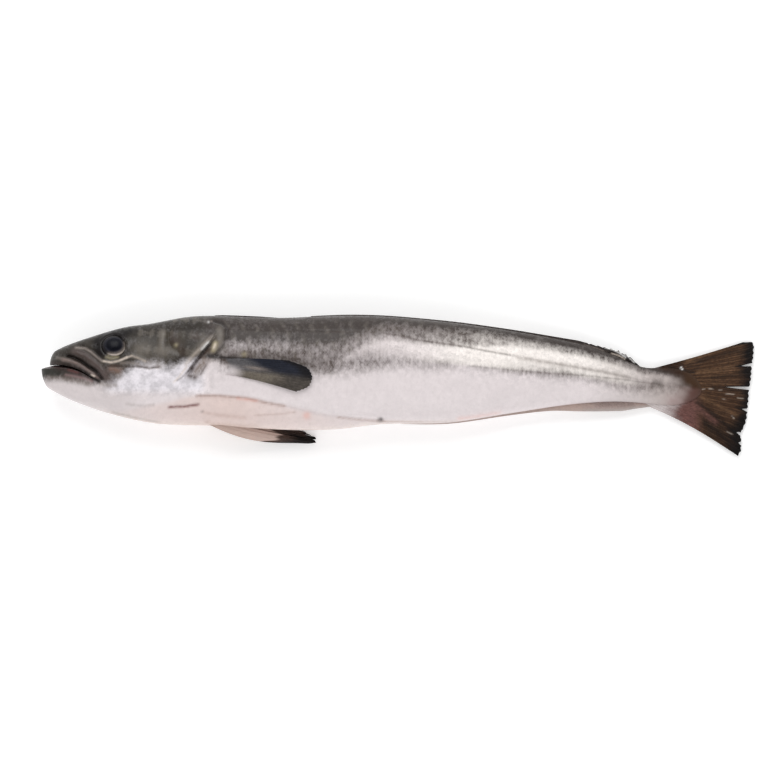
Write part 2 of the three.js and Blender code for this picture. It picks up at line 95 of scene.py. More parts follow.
BACK = [
    (-196, 18), (-187, 22.6), (-173, 27.6), (-154, 33.1), (-139, 35.2), (-119, 38.9), (-104, 39.6),
    (-67, 38.5), (-45, 39.3), (-25, 39.8), (0, 38.8), (45, 34), (99, 24.8), (118, 18.8), (137, 11),
    (150, 10.6), (171, 9.4),
]
BELLY = [
    (-201, 2), (-193, -2.9), (-182, -8.3), (-162, -15.2), (-139, -20.4), (-122, -21.6), (-104, -22),
    (-60, -24.4), (-35, -24), (-10, -21.2), (28, -20.3), (62, -15.2), (96, -10.2), (120, -8.6),
    (140, -9.6), (152, -10.7), (171, -10),
]
MIDDLE = [
    (-200, 10.7), (-190, 11.3), (-183, 10.4), (-177, 8.1), (-171.5, 4.9), (-166.5, 2.6), (-158, 1.5),
    (-134, 3.4), (-111, 5.6), (-55, 6.4), (56, 8), (112, 4.5), (141, 0.6), (171, -2),
]
HALF_WIDTH = [
    (-200, 7), (-188, 9.6), (-166, 12.2), (-155, 13.4), (-139, 15.4), (-120, 17.3), (-104, 18.2),
    (-80, 17.8), (-50, 18), (0, 17), (30, 15.2), (60, 12.3), (95, 8.8), (125, 5.6), (140, 4.2),
    (152, 3), (171, 1.5),
]
MIDPLANE = [
    (-200, 17.2), (-110, 17.2), (-20, 16.5), (30, 14.5), (60, 11.8), (95, 8.4), (125, 5.3),
    (150, 3.5), (200, 1.9),
]
SQUARE_ABOVE = [(-200, 2.3), (-165, 2.6), (-120, 2.4), (-80, 2.15), (171, 2)]
SQUARE_BELOW = [(-200, 2.1), (-120, 2.1), (171, 2)]

MOUTH_GAPE = 2.2
GAPE_POWER = 0.7  # below 1 it opens soon in front of its corner
LIP_THICKNESS = 1.8
LEAST_LINING = 0.2  # share of the head's half width
ARCH_WIDTH = 8  # half width of the head from which the arches have their full height
PALATE_ARCH = 3.2
TONGUE_ARCH = 1.6
THROAT_DEPTH = 9
LIP_ROLL = 0.16  # share of the gape

GILL_STATION = -115
GILL_EDGE = [
    (-1, -133), (-0.6, -129), (-0.1, -124.5), (0.13, -120.5), (0.29, -116), (0.47, -110.5),
    (0.66, -105.2), (0.78, -104), (0.9, -107), (1, -110),
]

# Relief fades where the body's half width is under this, and near the outline.
RELIEF_WIDTH = 6
RELIEF_EDGE = 1 / 3
# The gill cover's relief fades between levels, which are -1 on the belly and 1 on the back.
GILL_TOP_FADE = (0.72, 0.48)
GILL_LOW_FADE = (-0.05, 0.15)
THROAT_FADE = (-0.9, -0.4)
THROAT_SHARE = 0.25
# Distances behind the cover's rim, or behind its flap, over which its relief rises and falls.
GILL_RIM_WIDTH = 1.1
GILL_SWELL = (-3, 1)
SLIT_STEP = (-0.3, 0.5)
SLIT_END = (3.3, 1.1)

EYE = {
    "x": -159,
    "y": 22.6,
    "half": (7, 6.3, 3.4),
    "rim": {"at": 1.13, "width": 0.15, "height": 0.3},
    "bowl": {"depth": 2.4, "softness": 0.3},
    "iris": {"half": (6.3, 5.5), "raised": 0.3},
    "divisions": (64, 96),
}
HELD_UP = {"x": -78, "y": 6.5, "half_length": 34, "half_height": 14, "height": 1, "edge": 1.15}

# Stretches that are both a fold's relief and its painted line.
LIP_GROOVE = [(-182, 16.5), (-177.5, 14.3), (-173, 10.9), (-169.1, 8.7)]
EYE_GROOVE = [(-153.4, 11.1), (-146.2, 11.2), (-139.4, 10.2), (-133.8, 10.8)]
SHOULDER_FOLD = [(-99.1, 35.6), (-96.3, 32.8), (-96.3, 28.3), (-98, 22.7), (-101.9, 18.2)]
THROAT_SLIT = [(-128.2, -11.5), (-119.8, -11.2), (-112, -10.1)]
BELLY_FOLD = [(-100, -5.3), (-86, -6.4), (-73.4, -9.2), (-63.8, -10.9)]

# Relief of each side: width, height (a groove's is below 0) and line. A line of one point is a spot.
SIDE_FORMS = [
    # Groove between the maxilla, the long bone over the mouth, and the lip, and that bone's rolls.
    (0.9, -1.9, [(-184.6, 17.2), *LIP_GROOVE, (-165.4, 4.4)]),
    (2.0, 0.8, [(-180, 19), (-175.3, 17.1), (-170.8, 13.7), (-166.9, 9.8), (-163.5, 5.3)]),
    (0.8, 0.5, [(-179.2, 21.4), (-175.3, 21), (-171.9, 19), (-168.6, 16.3), (-165.8, 14.1)]),
    (0.7, -0.7, [(-180, 22.8), (-175, 22.5), (-171, 20.4), (-167.4, 17.2), (-164.6, 12.4), (-162, 6)]),
    # Lip's roll under that groove.
    (1.1, 0.7, [(-191, 15.4), (-185.4, 14.6), (-179.8, 12.9), (-175.3, 10.4), (-171.4, 7.6), (-168, 4.6)]),
    # Ridge of small bones under the eye, with a groove below it.
    (1.0, 0.7, [
        (-164.6, 14), (-160.7, 13.4), (-156.2, 14.3), (-151.8, 16.2), (-149, 17.1), (-145, 15.7),
        (-141.7, 14.3),
    ]),
    (0.9, -0.8, [(-161.3, 11.4), *EYE_GROOVE]),
    # Preopercle's curved edge on the cheek.
    (1.4, -0.7, [(-128.8, 30), (-128.2, 24.4), (-126.6, 21.6), (-122.6, 19.3)]),
    (1.8, 0.6, [(-131.6, 30), (-132.2, 24.4), (-131.6, 18.8)]),
    # Shoulder's fold, round the gill cover's upper corner, and the flap inside it.
    (1.2, -0.9, [(-103, 36.6), *SHOULDER_FOLD]),
    (1.7, 0.7, [(-102.5, 24.2), (-103.6, 20.2)]),
    # Throat slit and the fold along the belly.
    (0.9, -1.2, THROAT_SLIT),
    (0.9, -0.9, [(-112, -5.2), *BELLY_FOLD, (-41, -16.2), (-10, -19)]),
    # Lateral line.
    (0.7, -0.08, [
        (-94, 34), (-60, 31.4), (-30, 31), (10, 26.6), (62, 17.6), (109, 8.7), (129, 4.2), (166, -2.4),
    ]),
    # Roots of the pectoral and pelvic fins, cheek muscle, vent and nostrils.
    (5.5, 1.1, [(-104, 12.4)]),
    (9, 0.7, [(-142, 20)]),
    (6, 1.0, [(-106, -17)]),
    (1.6, -1.2, [(-10, -18.6)]),
    (0.7, -0.6, [(-168.4, 22.8)]),
    (0.6, -0.5, [(-170.6, 22.2)]),
]

CAUDAL = {
    "rays": 22,
    "steps": 64,
    "margin_seed": 3,
    "tint_seed": 5,
    "low": (131, -7.5),
    "high": (140, 9.5),
    "margin_x": [
        (0, 191.2), (0.04, 192.7), (0.18, 193.2), (0.3, 195.8), (0.5, 197.2), (0.7, 198.7), (0.88, 200),
        (0.95, 199.6), (1, 193.8),
    ],
    "margin_y": [(0, -39.4), (0.95, 24.7), (1, 25)],
    "bow": (2.6, -0.5),
    "thickness": (3, 0.7),
    "splits": [
        (0.1, 0.012, 1.6), (0.18, 0.014, 2.8), (0.38, 0.012, 2.6), (0.562, 0.013, 13), (0.762, 0.013, 6),
    ],
    "colours": ("caudal", "caudal_ray", "caudal", "fin_black"),
    "fades": (0.4, 0.86, 0.98),
    "margin_height": 1.7,
    "wave": 0.5,
}
PECTORAL = {
    "rays": 13,
    "steps": 56,
    "margin_seed": 11,
    "tint_seed": 13,
    "low": (-110, 9),
    "high": (-110.5, 14.8),
    "margin_x": [(0, -57), (0.25, -50.5), (0.5, -48), (0.75, -50.8), (1, -61)],
    "margin_y": [(0, -3), (0.25, -0.4), (0.5, 4.8), (0.75, 10.4), (1, 14.5)],
    "bow": (1.4, 1),
    "thickness": (1.4, 0.6),
    "splits": [],
    "colours": ("pectoral", "pectoral_ray", "throat", "fin_black"),
    "fades": (0.32, 0.9, 1),
    "lift": 1.6,
    "sink": 1.7,
    "right_drop": 0.35,
}
PELVIC = {
    "rays": 8,
    "steps": 56,
    "margin_seed": 17,
    "tint_seed": 19,
    "low": (-113.5, -17.6),
    "high": (-111.5, -12),
    "margin_x": [(0, -59), (0.15, -49.6), (0.3, -46), (0.55, -51), (0.8, -54.8), (1, -59)],
    "margin_y": [(0, -31.9), (0.15, -32.1), (0.3, -31.2), (0.55, -28.3), (0.8, -25.5), (1, -23.2)],
    "bow": (-4.4, -0.8),
    "thickness": (2.6, 0.6),
    "splits": [(0.42, 0.02, 5), (0.68, 0.02, 3.5)],
    "colours": ("pelvic", "pelvic", "pelvic", "pelvic_tip"),
    "fades": (0.3, 0.66, 0.71),
    "height": {
        "left": [(0, 24), (0.35, 18.5), (0.7, 9), (1, 4.5)],
        "right": [(0, 11), (0.3, 5), (0.6, 1.6), (1, 0.9)],
    },
    "ray_share": 0.3,
}
FOLDED_STEPS = 12
FOLDED_SEED = 23
FOLDED_FINS = {
    "first_dorsal_fin": {
        "outline": BACK, "out": 1, "rays": 10, "from": -108, "to": -66, "lean": 5, "thickness": 2.4,
        "colours": ("back", "flank", "back", "back"), "fades": (0.5, 0.8, 1),
        "height": [(-109, -0.6), (-102, 0.3), (-90, 0.5), (-76, 0.4), (-58, -0.6)],
    },
    "second_dorsal_fin": {
        "outline": BACK, "out": 1, "rays": 22, "from": -56, "to": 129, "lean": 7, "thickness": 2.2,
        "colours": ("back", "flank", "back", "back"), "fades": (0.5, 0.8, 1),
        "height": [
            (-58, 0.2), (-40, 0.4), (20, 0.5), (80, 0.8), (96, 1.2), (110, 2), (124, 4.1), (130, 3.6),
            (136, -0.4),
        ],
    },
    "anal_fin": {
        "outline": BELLY, "out": -1, "rays": 22, "from": -6, "to": 136, "lean": 7, "thickness": 2.2,
        "colours": ("anal", "pelvic", "lip", "stem"), "fades": (0.75, 0.6, 1),
        "height": [(-8, -0.6), (4, 0.2), (60, 1), (84, 2), (104, 4.6), (124, 5.2), (134, 3.2), (143, 1.4)],
    },
}
FOLDED_SINK = 2.6
FOLDED_EDGE_SHARE = 0.35  # of the root's thickness
FOLDED_END_SHARE = 0.12
# Rays: a power under 1 makes them broad, and each parts in two over a stretch of its length.
RAY_POWER = 0.8
RAY_PARTING = (0.45, 0.7)
PARTED_SHARE = 0.6
SPLIT_POWER = 0.6

# How finely the skin is divided: rings of each stretch, and points of a ring's four quarters.
JAW_STEPS = 62
CHEEK_STEPS = 92
GILL_STEPS = [-2.6, -1.8, -1, -0.4, 0.2, 0.8, 1.3, 1.7, 2, 2.25, 2.5, 2.8, 3.1, 3.5, 3.9, 4.4, 5, 5.8, 6.8]
SHOULDER_STEPS = 42
TRUNK_STEPS = 250
TAIL_STEPS = 16
ROWS = {1: (74, 32), -1: (48, 26)}
ROW_SKEW = 1.15
LIP_POINTS = 4
LINING_POINTS = 12
THROAT_STEPS = 6

# ---- Stage, in metres --------------------------------------------------------------------------
TABLE_HALF = 3
TABLE_TOP = -0.0002
KEY_PLACE = (-0.15, 0.9, 0.95)
KEY_SIZE = 0.9
FILL_PLACE = (0.1, -1, 1)
FILL_SIZE = 1
SENSOR_WIDTH = 36  # millimetres
VIEW_STATION = -110  # millimetres, where the view's width is measured

# ---- Where the skin's colours lie, in millimetres ----------------------------------------------
# Dark pigment: it is full from the first line up, and thins out to a share at the second, its edge.
SHADE_FULL = [
    (-200, 11), (-190, 12), (-178, 14), (-166, 12), (-158, 11), (-150, 15), (-140, 16), (-128, 16.5),
    (-118, 18), (-110, 22), (-103, 26.4), (-94, 26.8), (-72, 26.8), (-50, 26.8), (-38, 27), (-27, 30),
    (-16, 35), (-5, 37), (6, 36), (17, 34.5), (40, 33), (51, 31.5), (62, 29.4), (73, 27), (85, 24.8),
    (96, 22.4), (107, 20), (129, 13.8), (137, 11), (146, 8.8), (171, 7),
]
SHADE_EDGE = [
    (-200, 3.6), (-190, 4.6), (-180, 3), (-171, 2), (-164.6, 1.6), (-159, 2.6), (-153.4, 7.5), (-145, 12),
    (-139.4, 12.8), (-134, 13), (-128, 9.6), (-120, 13.4), (-112, 14.4), (-104, 15), (-94, 10),
    (-83, 9.4), (-61, 9.6),
    (-38.6, 8.8), (-27, 16.6), (-16, 24.2), (-5, 26.6), (17, 23.4), (28, 22.2), (40, 21.8), (62, 22.4),
    (85, 19.6), (107, 15.4), (129, 9.4), (137, 7), (146, 6), (155, 5), (171, 4),
]
EDGE_SHARE = [
    (-200, 0.95), (-180, 0.9), (-164, 0.88), (-150, 0.82), (-136.6, 0.8), (-128, 0.85), (-120, 0.88),
    (-94, 0.85), (-61, 0.86), (-38.6, 0.74), (-27, 0.56), (-16, 0.72), (6, 0.64), (17, 0.6), (40, 0.4),
    (62, 0.36), (85, 0.34), (107, 0.26), (146, 0.4), (171, 0.8),
]
EDGE_SOFTNESS = [
    (-200, 4), (-190, 3.6), (-180, 3.6), (-171, 3), (-164.6, 2.6), (-159, 4), (-153.4, 4), (-145, 4),
    (-136.6, 4.4), (-128, 4), (-120, 3.4), (-104, 3), (-50, 3.4), (-27, 4.4), (-16, 4.4), (-5, 3.6),
    (17, 1.6), (40, 1), (62, 1.4), (171, 1.2),
]
# Stripe over the band where the pigment is thinner: its height, half width and strength.
STRIPE = {
    "height": [(-94, 22.8), (-61, 21.5), (-38, 19.5), (-16, 20.5)],
    "width": [(-94, 3.2), (-61, 4), (-38, 5)],
    "strength": [(-104, 0), (-94, 0.2), (-83, 0.25), (-61, 0.2), (-38, 0.12), (-27, 0.1), (-10, 0)],
}
# Mottled band along the middle of the flank: its height, half widths upwards and downwards, strength.
BAND = {
    "height": [
        (-94, 12), (-50, 11), (-27, 12.4), (-5, 14), (17, 12.8), (40, 11), (62, 8.6), (85, 7.2), (107, 4),
        (129, 0),
    ],
    "up": [
        (-94, 6), (-50, 4), (-38, 3.4), (-27, 5), (-16, 7), (-5, 4), (17, 3), (40, 2.2), (62, 2.6),
        (85, 3.4), (107, 2.8), (129, 2.4),
    ],
    "down": [
        (-94, 6), (-50, 5.5), (-27, 6), (-5, 4.4), (17, 4), (40, 2.4), (62, 1.8), (85, 3.2), (107, 1.8),
        (129, 4),
    ],
    "strength": [
        (-104, 0), (-94, 0.4), (-61, 0.5), (-27, 0.55), (-5, 0.5), (17, 0.42), (40, 0.18), (62, 0.38),
        (85, 0.5), (107, 0.36), (129, 0.4), (150, 0.4),
    ],
}
# Grey of the tail's stem, and where it ends in the tail fin: x over y.
STEM_GREY = [(104, 0), (129, 0.45), (146, 0.85), (171, 1)]
STEM_END = [
    (-13, 153), (-10.4, 156), (-7.6, 157.6), (-2, 160), (0.8, 158.8), (3.6, 156), (6.4, 154),
    (9.2, 147), (12, 138),
]
# Pinkish throat and belly, below this line, and how pink they are.
WARM_BELOW = [
    (-200, -14), (-160, -14), (-130, -9), (-112, -5.2), (-86, -6.4), (-73, -9.2), (-60, -12),
    (-41, -16), (-10, -19), (171, -30),
]
WARM_SHARE = [
    (-180, 0), (-150, 0.35), (-112, 0.8), (-94, 0.95), (-72, 0.7), (-50, 0.5), (-27, 0.3), (20, 0.2),
]

# Painted marks: colour, width, strength and line. A line of one point is a spot.
PAINTED = [
    # Snout, mouth and jaws.
    ("ash", 1.0, 0.4, [(-191, 16), (-184.2, 14.6)]),
    ("fin_black", 2.6, 0.95, [(-168, 25), (-165, 28), (-160, 30), (-154, 30.8), (-149, 31)]),
    ("maxilla", 2.3, 0.85, [(-181, 19.6), (-175.3, 17.4), (-170.8, 13.9), (-166.9, 10), (-163.5, 5.8)]),
    ("ash", 0.7, 0.8, [(-180.4, 21.8), (-175.3, 21.3), (-171.9, 19.3), (-168.6, 16.5), (-165.8, 14.3)]),
    ("gum", 2.3, 0.92, [(-193.4, 10.8), (-186, 10.2), (-180, 8.6), (-175, 6.6), (-170, 3.8)]),
    ("lip", 1.0, 0.9, [
        (-187.6, 15), (-184, 14.4), (-179.8, 12.9), (-175.3, 10.4), (-171.4, 7.6), (-168, 4.8),
    ]),
    ("gum", 1.9, 0.92, [(-195, 8.6), (-187, 8.2), (-180.6, 6.8)]),
    ("jaw_tip", 2.2, 0.85, [(-199, 8), (-192, 7.4), (-186, 7)]),
    ("maxilla", 1.6, 0.6, [(-188, 5.4), (-180, 3.6), (-173, 1.8)]),
    ("rosy", 0.8, 0.5, [(-186, 6.6), (-180.4, 5.6), (-175.4, 4.4), (-171.4, 3)]),
    ("blood", 0.8, 0.5, [(-184.4, 9.4), (-179.6, 8)]),
    ("shadow", 1.1, 0.98, [(-185, 17.2), *LIP_GROOVE, (-165.6, 4.4)]),
    ("shadow", 1.1, 0.95, [
        (-187, 11.6), (-181.4, 10.1), (-177, 8.7), (-173, 6.4), (-169.7, 4.3), (-167, 2.8),
    ]),
    ("jaw_tip", 2.4, 0.95, [(-199.6, 9), (-195.4, 8.6), (-192.4, 7.8)]),
    ("ash", 1.3, 0.4, [(-196, 5), (-190, 4.6), (-180, 3), (-172, 1)]),
    ("maxilla", 1.9, 0.8, [(-165.6, 8), (-163.5, 4.6), (-160.6, 3.4)]),
    ("ash", 1.3, 0.5, [(-166, 1.4), (-162, 0.4), (-158, 0.6)]),
    ("cream", 0.5, 0.8, [(-171.4, 6.6), (-170, 5.8)]),
    # Round the eye.
    ("fin_black", 1.4, 0.8, [(-170.2, 28.4), (-164.6, 30.8), (-157.4, 31.6), (-151.4, 31.3)]),
    ("fin_black", 2.0, 0.95, [(-169, 25.4), (-168.8, 22.6), (-167.4, 20)]),
    ("rust", 2.0, 0.45, [(-160.5, 9.8), (-156, 9)]),
    ("ochre", 0.8, 0.55, [(-163.2, 16.4), (-160.2, 15.6), (-157, 16.4)]),
    ("cream", 0.6, 0.85, [(-164.8, 14.1), (-160.7, 13.4), (-156.2, 14.3), (-151.8, 16.2)]),
    ("cream", 0.6, 0.7, [(-151.8, 16.2), (-149, 17.1), (-145, 15.7), (-141.4, 14)]),
    ("ash", 0.8, 0.6, [(-155, 13), (-150.6, 13.3), (-145, 12.3)]),
    ("umber", 0.8, 0.8, [(-161.6, 11.4), *EYE_GROOVE]),
    # Cheek and gill cover.
    ("stone", 1.9, 0.7, [(-131.6, 30), (-132.4, 24.4), (-131.8, 18.6)]),
    ("olive", 1.1, 0.92, [(-128.8, 30.2), (-128.4, 24.4), (-126.6, 21.4), (-122.6, 19.1)]),
    ("umber", 2.6, 0.45, [(-125.6, 28.4), (-122.6, 24.6), (-120.4, 19)]),
    ("stone", 2.2, 0.4, [(-108, 26.6), (-112.4, 21.4), (-116.6, 15.6)]),
    ("cream", 1.2, 0.3, [(-104.2, 27.4), (-108.1, 23.8), (-112, 19.8), (-115.9, 15.8), (-118.6, 12.2)]),
    # Painted shade that dulls the light on the gill lip's top face.
    ("stone", 1.3, 0.5, [(-102.4, 28.6), (-105.8, 25.6), (-108.6, 23)]),
    # A painted highlight on the gill cover's pale edge.
    ("bright", 0.8, 0.6, [(-106.2, 24.6), (-109.8, 21)]),
    ("cream", 0.6, 0.55, [(-118.6, 10.6), (-121.5, 6.4), (-125.4, 2.5)]),
    ("umber", 0.5, 0.5, [(-117.6, 8.4), (-121, 5), (-123.4, 3.4)]),
    ("stone", 2.0, 0.6, [(-100, 32), (-98.8, 26.4), (-100.4, 21)]),
    ("ochre", 1.5, 0.9, [(-102.3, 24), (-103.5, 20)]),
    ("cream", 0.7, 0.7, [(-102.4, 23.4), (-103, 21.4)]),
    ("membrane", 2.8, 0.95, [(-106.6, 16.2), (-109.4, 13), (-112.8, 7.6)]),
    # Painted shade in the gill slit behind the cover's rim and at its low end, and along the membrane's edge.
    ("umber", 0.9, 0.8, [(-105.4, 21), (-108.1, 18.6), (-111.4, 15.6), (-114.6, 12), (-116.6, 9)]),
    ("umber", 1.5, 0.8, [(-115.4, 9.8), (-117.4, 6.2), (-113.8, 5)]),
    ("umber", 0.5, 0.6, [(-106, 16), (-107.5, 11.5), (-110.5, 6.8)]),
    ("shadow", 1.0, 0.5, [(-105, 36.4), *SHOULDER_FOLD]),
    # Painted shadow that the pectoral fin casts on the flank along its upper edge.
    ("shadow", 1.7, 0.75, [(-107, 17), (-101.5, 17.1)]),
    ("shadow", 1.1, 0.9, [(-106.2, 16.9), (-99.1, 16.2), (-90.2, 15.7), (-84, 15.6)]),
    # Throat, belly folds and the belly's edge.
    ("blood", 0.75, 0.85, THROAT_SLIT),
    ("rust", 0.8, 0.62, [(-112.4, -5.2), *BELLY_FOLD]),
    ("orange", 0.8, 0.4, [(-90, -6.6), (-79, -8)]),
    ("rust", 0.6, 0.3, [(-80, -16), (-66.6, -15.4), (-58, -14.3)]),
    ("rust", 0.6, 0.45, [(-34, -17.2), (-22, -18.6), (-8, -19.6), (20, -20), (45, -19.2)]),
    ("rust", 1.0, 0.25, [(-109, -14.5), (-100, -16), (-86, -17.5)]),
    ("rust", 1.7, 0.32, [(-107, -20.2), (-103, -21.2), (-92, -22.4), (-80, -22.6)]),
    ("ash", 1.0, 0.35, [(-160, -14.6), (-143, -18.6), (-134, -20.4)]),
    ("ash", 0.9, 0.3, [(-152, -9.8), (-143, -10.8), (-137, -10.2)]),
    ("orange", 1.8, 0.35, [(34, -18.6), (44, -17.4), (56, -15.6)]),
    # Lateral line and the line where the silver ends.
    ("umber", 0.5, 0.3, [(-40, 30.4), (-16, 30.6), (-2, 28.9)]),
    ("umber", 0.6, 0.6, [(-2, 28.9), (11.8, 25.7), (28, 23.6), (40, 21.6), (51, 19.4), (62, 17.6)]),
    ("ash", 1.3, 0.42, [(66, 16.4), (80, 13.8), (100, 10.8), (114, 8.2), (129, 5)]),
    ("umber", 0.7, 0.2, [
        (62, 17.6), (80, 14), (100, 10.6), (114, 8.2), (129, 5.2), (137, 3.2), (150, 0.2),
    ]),
    ("umber", 0.6, 0.35, [(40, 11.4), (62, 9.2), (84, 7.4), (104, 6.2), (126, 3.9), (142, 1.6)]),
    # Spots: cheek, nape, gill cover, brow, vent, belly, stem and nostrils. The cheek's pale patches are
    # partly painted sheen, and the top of the shoulder has a painted highlight.
    # Pale grey patches behind the eye: lighter skin, partly painted sheen on the cheek's bulge.
    ("stone", 5.5, 0.6, [(-143.5, 20)]),
    ("stone", 5, 0.4, [(-134, 18)]),
    ("stone", 3.6, 0.35, [(-127, 19)]),
    ("ash", 2.4, 0.5, [(-139.5, 12.4)]),
    ("ash", 2.2, 0.5, [(-133.6, 11.6)]),
    ("ash", 2.6, 0.4, [(-156.6, 6.4)]),
    ("umber", 3.4, 0.6, [(-123.8, 25.6)]),
    ("olive", 3.6, 0.8, [(-120.6, 27.4)]),
    ("ochre", 1.1, 0.7, [(-124.3, 23)]),
    ("shadow", 4.2, 0.3, [(-117, 30.5)]),
    ("umber", 3, 0.6, [(-113.4, 28)]),
    ("line", 0.9, 0.9, [(-151.1, 25.9)]),
    # Painted highlight on the top of the shoulder.
    ("bright", 0.7, 0.5, [(-106.4, 36)]),
    ("ash", 0.6, 0.6, [(-104.8, 36.4)]),
    ("ochre", 1.6, 0.5, [(-86.2, 17.9)]),
    ("shadow", 1.4, 0.85, [(-10.4, -18.6)]),
    ("orange", 2.0, 0.55, [(-51.5, -16.2)]),
    ("olive", 3.4, 0.4, [(145, 2.4)]),
    ("rosy", 5, 0.6, [(154, -9.6)]),
    ("umber", 0.8, 0.6, [(-109.8, -14)]),
    ("shadow", 0.5, 0.7, [(-168.4, 22.8)]),
    ("shadow", 0.45, 0.6, [(-170.6, 22.2)]),
]
# Pale strands on the torn rear of the second back fin, with a brown streak on the anal fin.
STRANDS = [
    ("bright", 0.34, 0.85, [(116, 21.8), (120.5, 20.6), (124, 18.8), (127.4, 16.4)]),
    ("cream", 0.3, 0.8, [(119.5, 18.6), (123.6, 17.4), (127, 15.4)]),
    ("bright", 0.3, 0.85, [(125.4, 19.2), (129, 16.6), (132.4, 13.4)]),
    ("ash", 0.4, 0.7, [(104, 23.4), (110, 21.8), (115, 20)]),
    ("maxilla", 1.8, 0.3, [(113, -10), (121, -10.2), (131, -10)]),
]
# Broad streaks and dark rays of the tail fin, and the glints on it.
GLINTS = [
    ("caudal_ray", 1.6, 0.6, [(162, 14.5), (172, 18.5), (184, 23)]),
    ("caudal_ray", 1.2, 0.5, [(168, 8), (178, 9.4), (188, 11)]),
    ("fin_black", 1.0, 0.6, [(152, 11), (158, 9), (166, 8)]),
    ("fin_black", 0.9, 0.5, [(168, 14), (180, 17.4), (192, 20)]),
    ("fin_black", 0.8, 0.5, [(176, 5), (186, 6), (195, 6.6)]),
    ("fin_black", 0.9, 0.5, [(176, -0.6), (186, -1.6), (194, -2.4)]),
    ("caudal_low", 1.8, 0.6, [(164, -9), (171, -14), (178, -20)]),
    ("caudal_ray", 1.0, 0.5, [(170, -6), (180, -11), (190, -16)]),
    ("fin_black", 1.2, 0.6, [(168, -9), (177, -15.6), (187, -24)]),
    ("fin_black", 1.4, 0.6, [(172, -20), (181, -27), (188, -34)]),
    ("bright", 0.45, 0.85, [(158.6, 10.8), (159.4, 9.4)]),
    ("cream", 0.34, 0.36, [(170.8, -1.6), (171.8, -1.4)]),
    ("cream", 0.36, 0.44, [(174.4, -1.2), (176.4, -1.4)]),
    ("cream", 0.34, 0.28, [(180, -2), (181.6, -2)]),
    ("cream", 0.38, 0.32, [(184, -4.1), (188.6, -4.4)]),
    ("cream", 0.3, 0.34, [(182.2, -7), (183.4, -7.2)]),
    ("cream", 0.34, 0.3, [(190.6, -6.4), (193.4, -6.8)]),
    ("cream", 0.34, 0.3, [(187.6, -16.6), (188.6, -18)]),
    ("cream", 0.36, 0.3, [(184.6, -25.4), (187.4, -26.8)]),
]


# ---- Sums over whole arrays --------------------------------------------------------------------
def clamp(values, low=0.0, high=1.0):
    """The values, held between low and high."""
    return np.clip(values, low, high)


def mix(a, b, share):
    """a where the share is 0, b where it is 1, in proportion between."""
    return a + (b - a) * share


def smooth(share):
    """An S from 0 to 1: 3 t squared less 2 t cubed, with t held between 0 and 1."""
    t = clamp(share)
    return t * t * (3 - 2 * t)


def ramp(values, start, end):
    """A straight way from 0 at the start to 1 at the end, which may be the lower of the two."""
    return clamp((values - start) / (end - start))


def rise(values, start, end):
    """An S from 0 at the start to 1 at the end, which may be the lower of the two."""
    return smooth(ramp(values, start, end))


def step(distance, width):
    """An S from 0 to 1 over a width, half way at no distance."""
    return smooth(distance / width + 0.5)


def bell(distance, width):
    """e to the minus (distance / width) squared: 1 at no distance, nearly 0 at two widths."""
    return np.exp(-((distance / width) ** 2))


def curve(points):
    """A smooth curve through (x, value) points: cubic Hermite pieces whose slopes come from the
    neighbours on both sides, and whose ends hold their value."""
    x, y = np.array(points, float).T
    before = np.maximum(np.arange(len(x)) - 1, 0)
    after = np.minimum(np.arange(len(x)) + 1, len(x) - 1)
    slope = (y[after] - y[before]) / (x[after] - x[before])

    def value(at):
        at = np.asarray(at, float)
        i = clamp(np.searchsorted(x, at) - 1, 0, len(x) - 2).astype(int)
        span = x[i + 1] - x[i]
        t = clamp((at - x[i]) / span)
        return (
            (2 * t**3 - 3 * t**2 + 1) * y[i]
            + (t**3 - 2 * t**2 + t) * span * slope[i]
            + (3 * t**2 - 2 * t**3) * y[i + 1]
            + (t**3 - t**2) * span * slope[i + 1]
        )

    return value


def distance_to_line(x, y, line):
    """Distance in the side's plane from each point to a line of points: the least of the distances
    to its pieces, or to its only point."""
    nearest = np.full(np.shape(x), np.inf)
    for (ax, ay), (bx, by) in zip(line, line[1:] or line):
        square = max((bx - ax) ** 2 + (by - ay) ** 2, 1e-9)
        along = clamp(((x - ax) * (bx - ax) + (y - ay) * (by - ay)) / square)
        nearest = np.minimum(nearest, np.hypot(x - mix(ax, bx, along), y - mix(ay, by, along)))
    return nearest


def rounding(distance, length):
    """A quarter of an ellipse: the square root of 1 less (1 - distance / length) squared."""
    return np.sqrt(1 - (1 - clamp(distance / length)) ** 2)


def waves(x, y, seed, longest=9.0):
    """Soft unevenness from -1 to 1: a sum of sine waves over x and y with seeded directions and
    phases, each shorter and weaker than the one before."""
    draw = np.random.default_rng(seed)
    total = 0
    for i in range(WAVE_COUNT):
        turn, phase = draw.uniform(0, 2 * np.pi, 2)
        k = 2 * np.pi / (longest / 1.6**i)
        total = total + np.sin(k * (x * np.cos(turn) + y * np.sin(turn)) + phase) / (1 + i)
    return total / sum(1 / (1 + i) for i in range(WAVE_COUNT))


back, belly, middle = curve(BACK), curve(BELLY), curve(MIDDLE)
half_width, midplane = curve(HALF_WIDTH), curve(MIDPLANE)
square_above, square_below = curve(SQUARE_ABOVE), curve(SQUARE_BELOW)
gill_edge = curve(GILL_EDGE)
shade_full, shade_edge = curve(SHADE_FULL), curve(SHADE_EDGE)
edge_share, edge_softness = curve(EDGE_SHARE), curve(EDGE_SOFTNESS)
stripe = {name: curve(points) for name, points in STRIPE.items()}
band = {name: curve(points) for name, points in BAND.items()}
warm_below, warm_share = curve(WARM_BELOW), curve(WARM_SHARE)
stem_grey, stem_end = curve(STEM_GREY), curve(STEM_END)


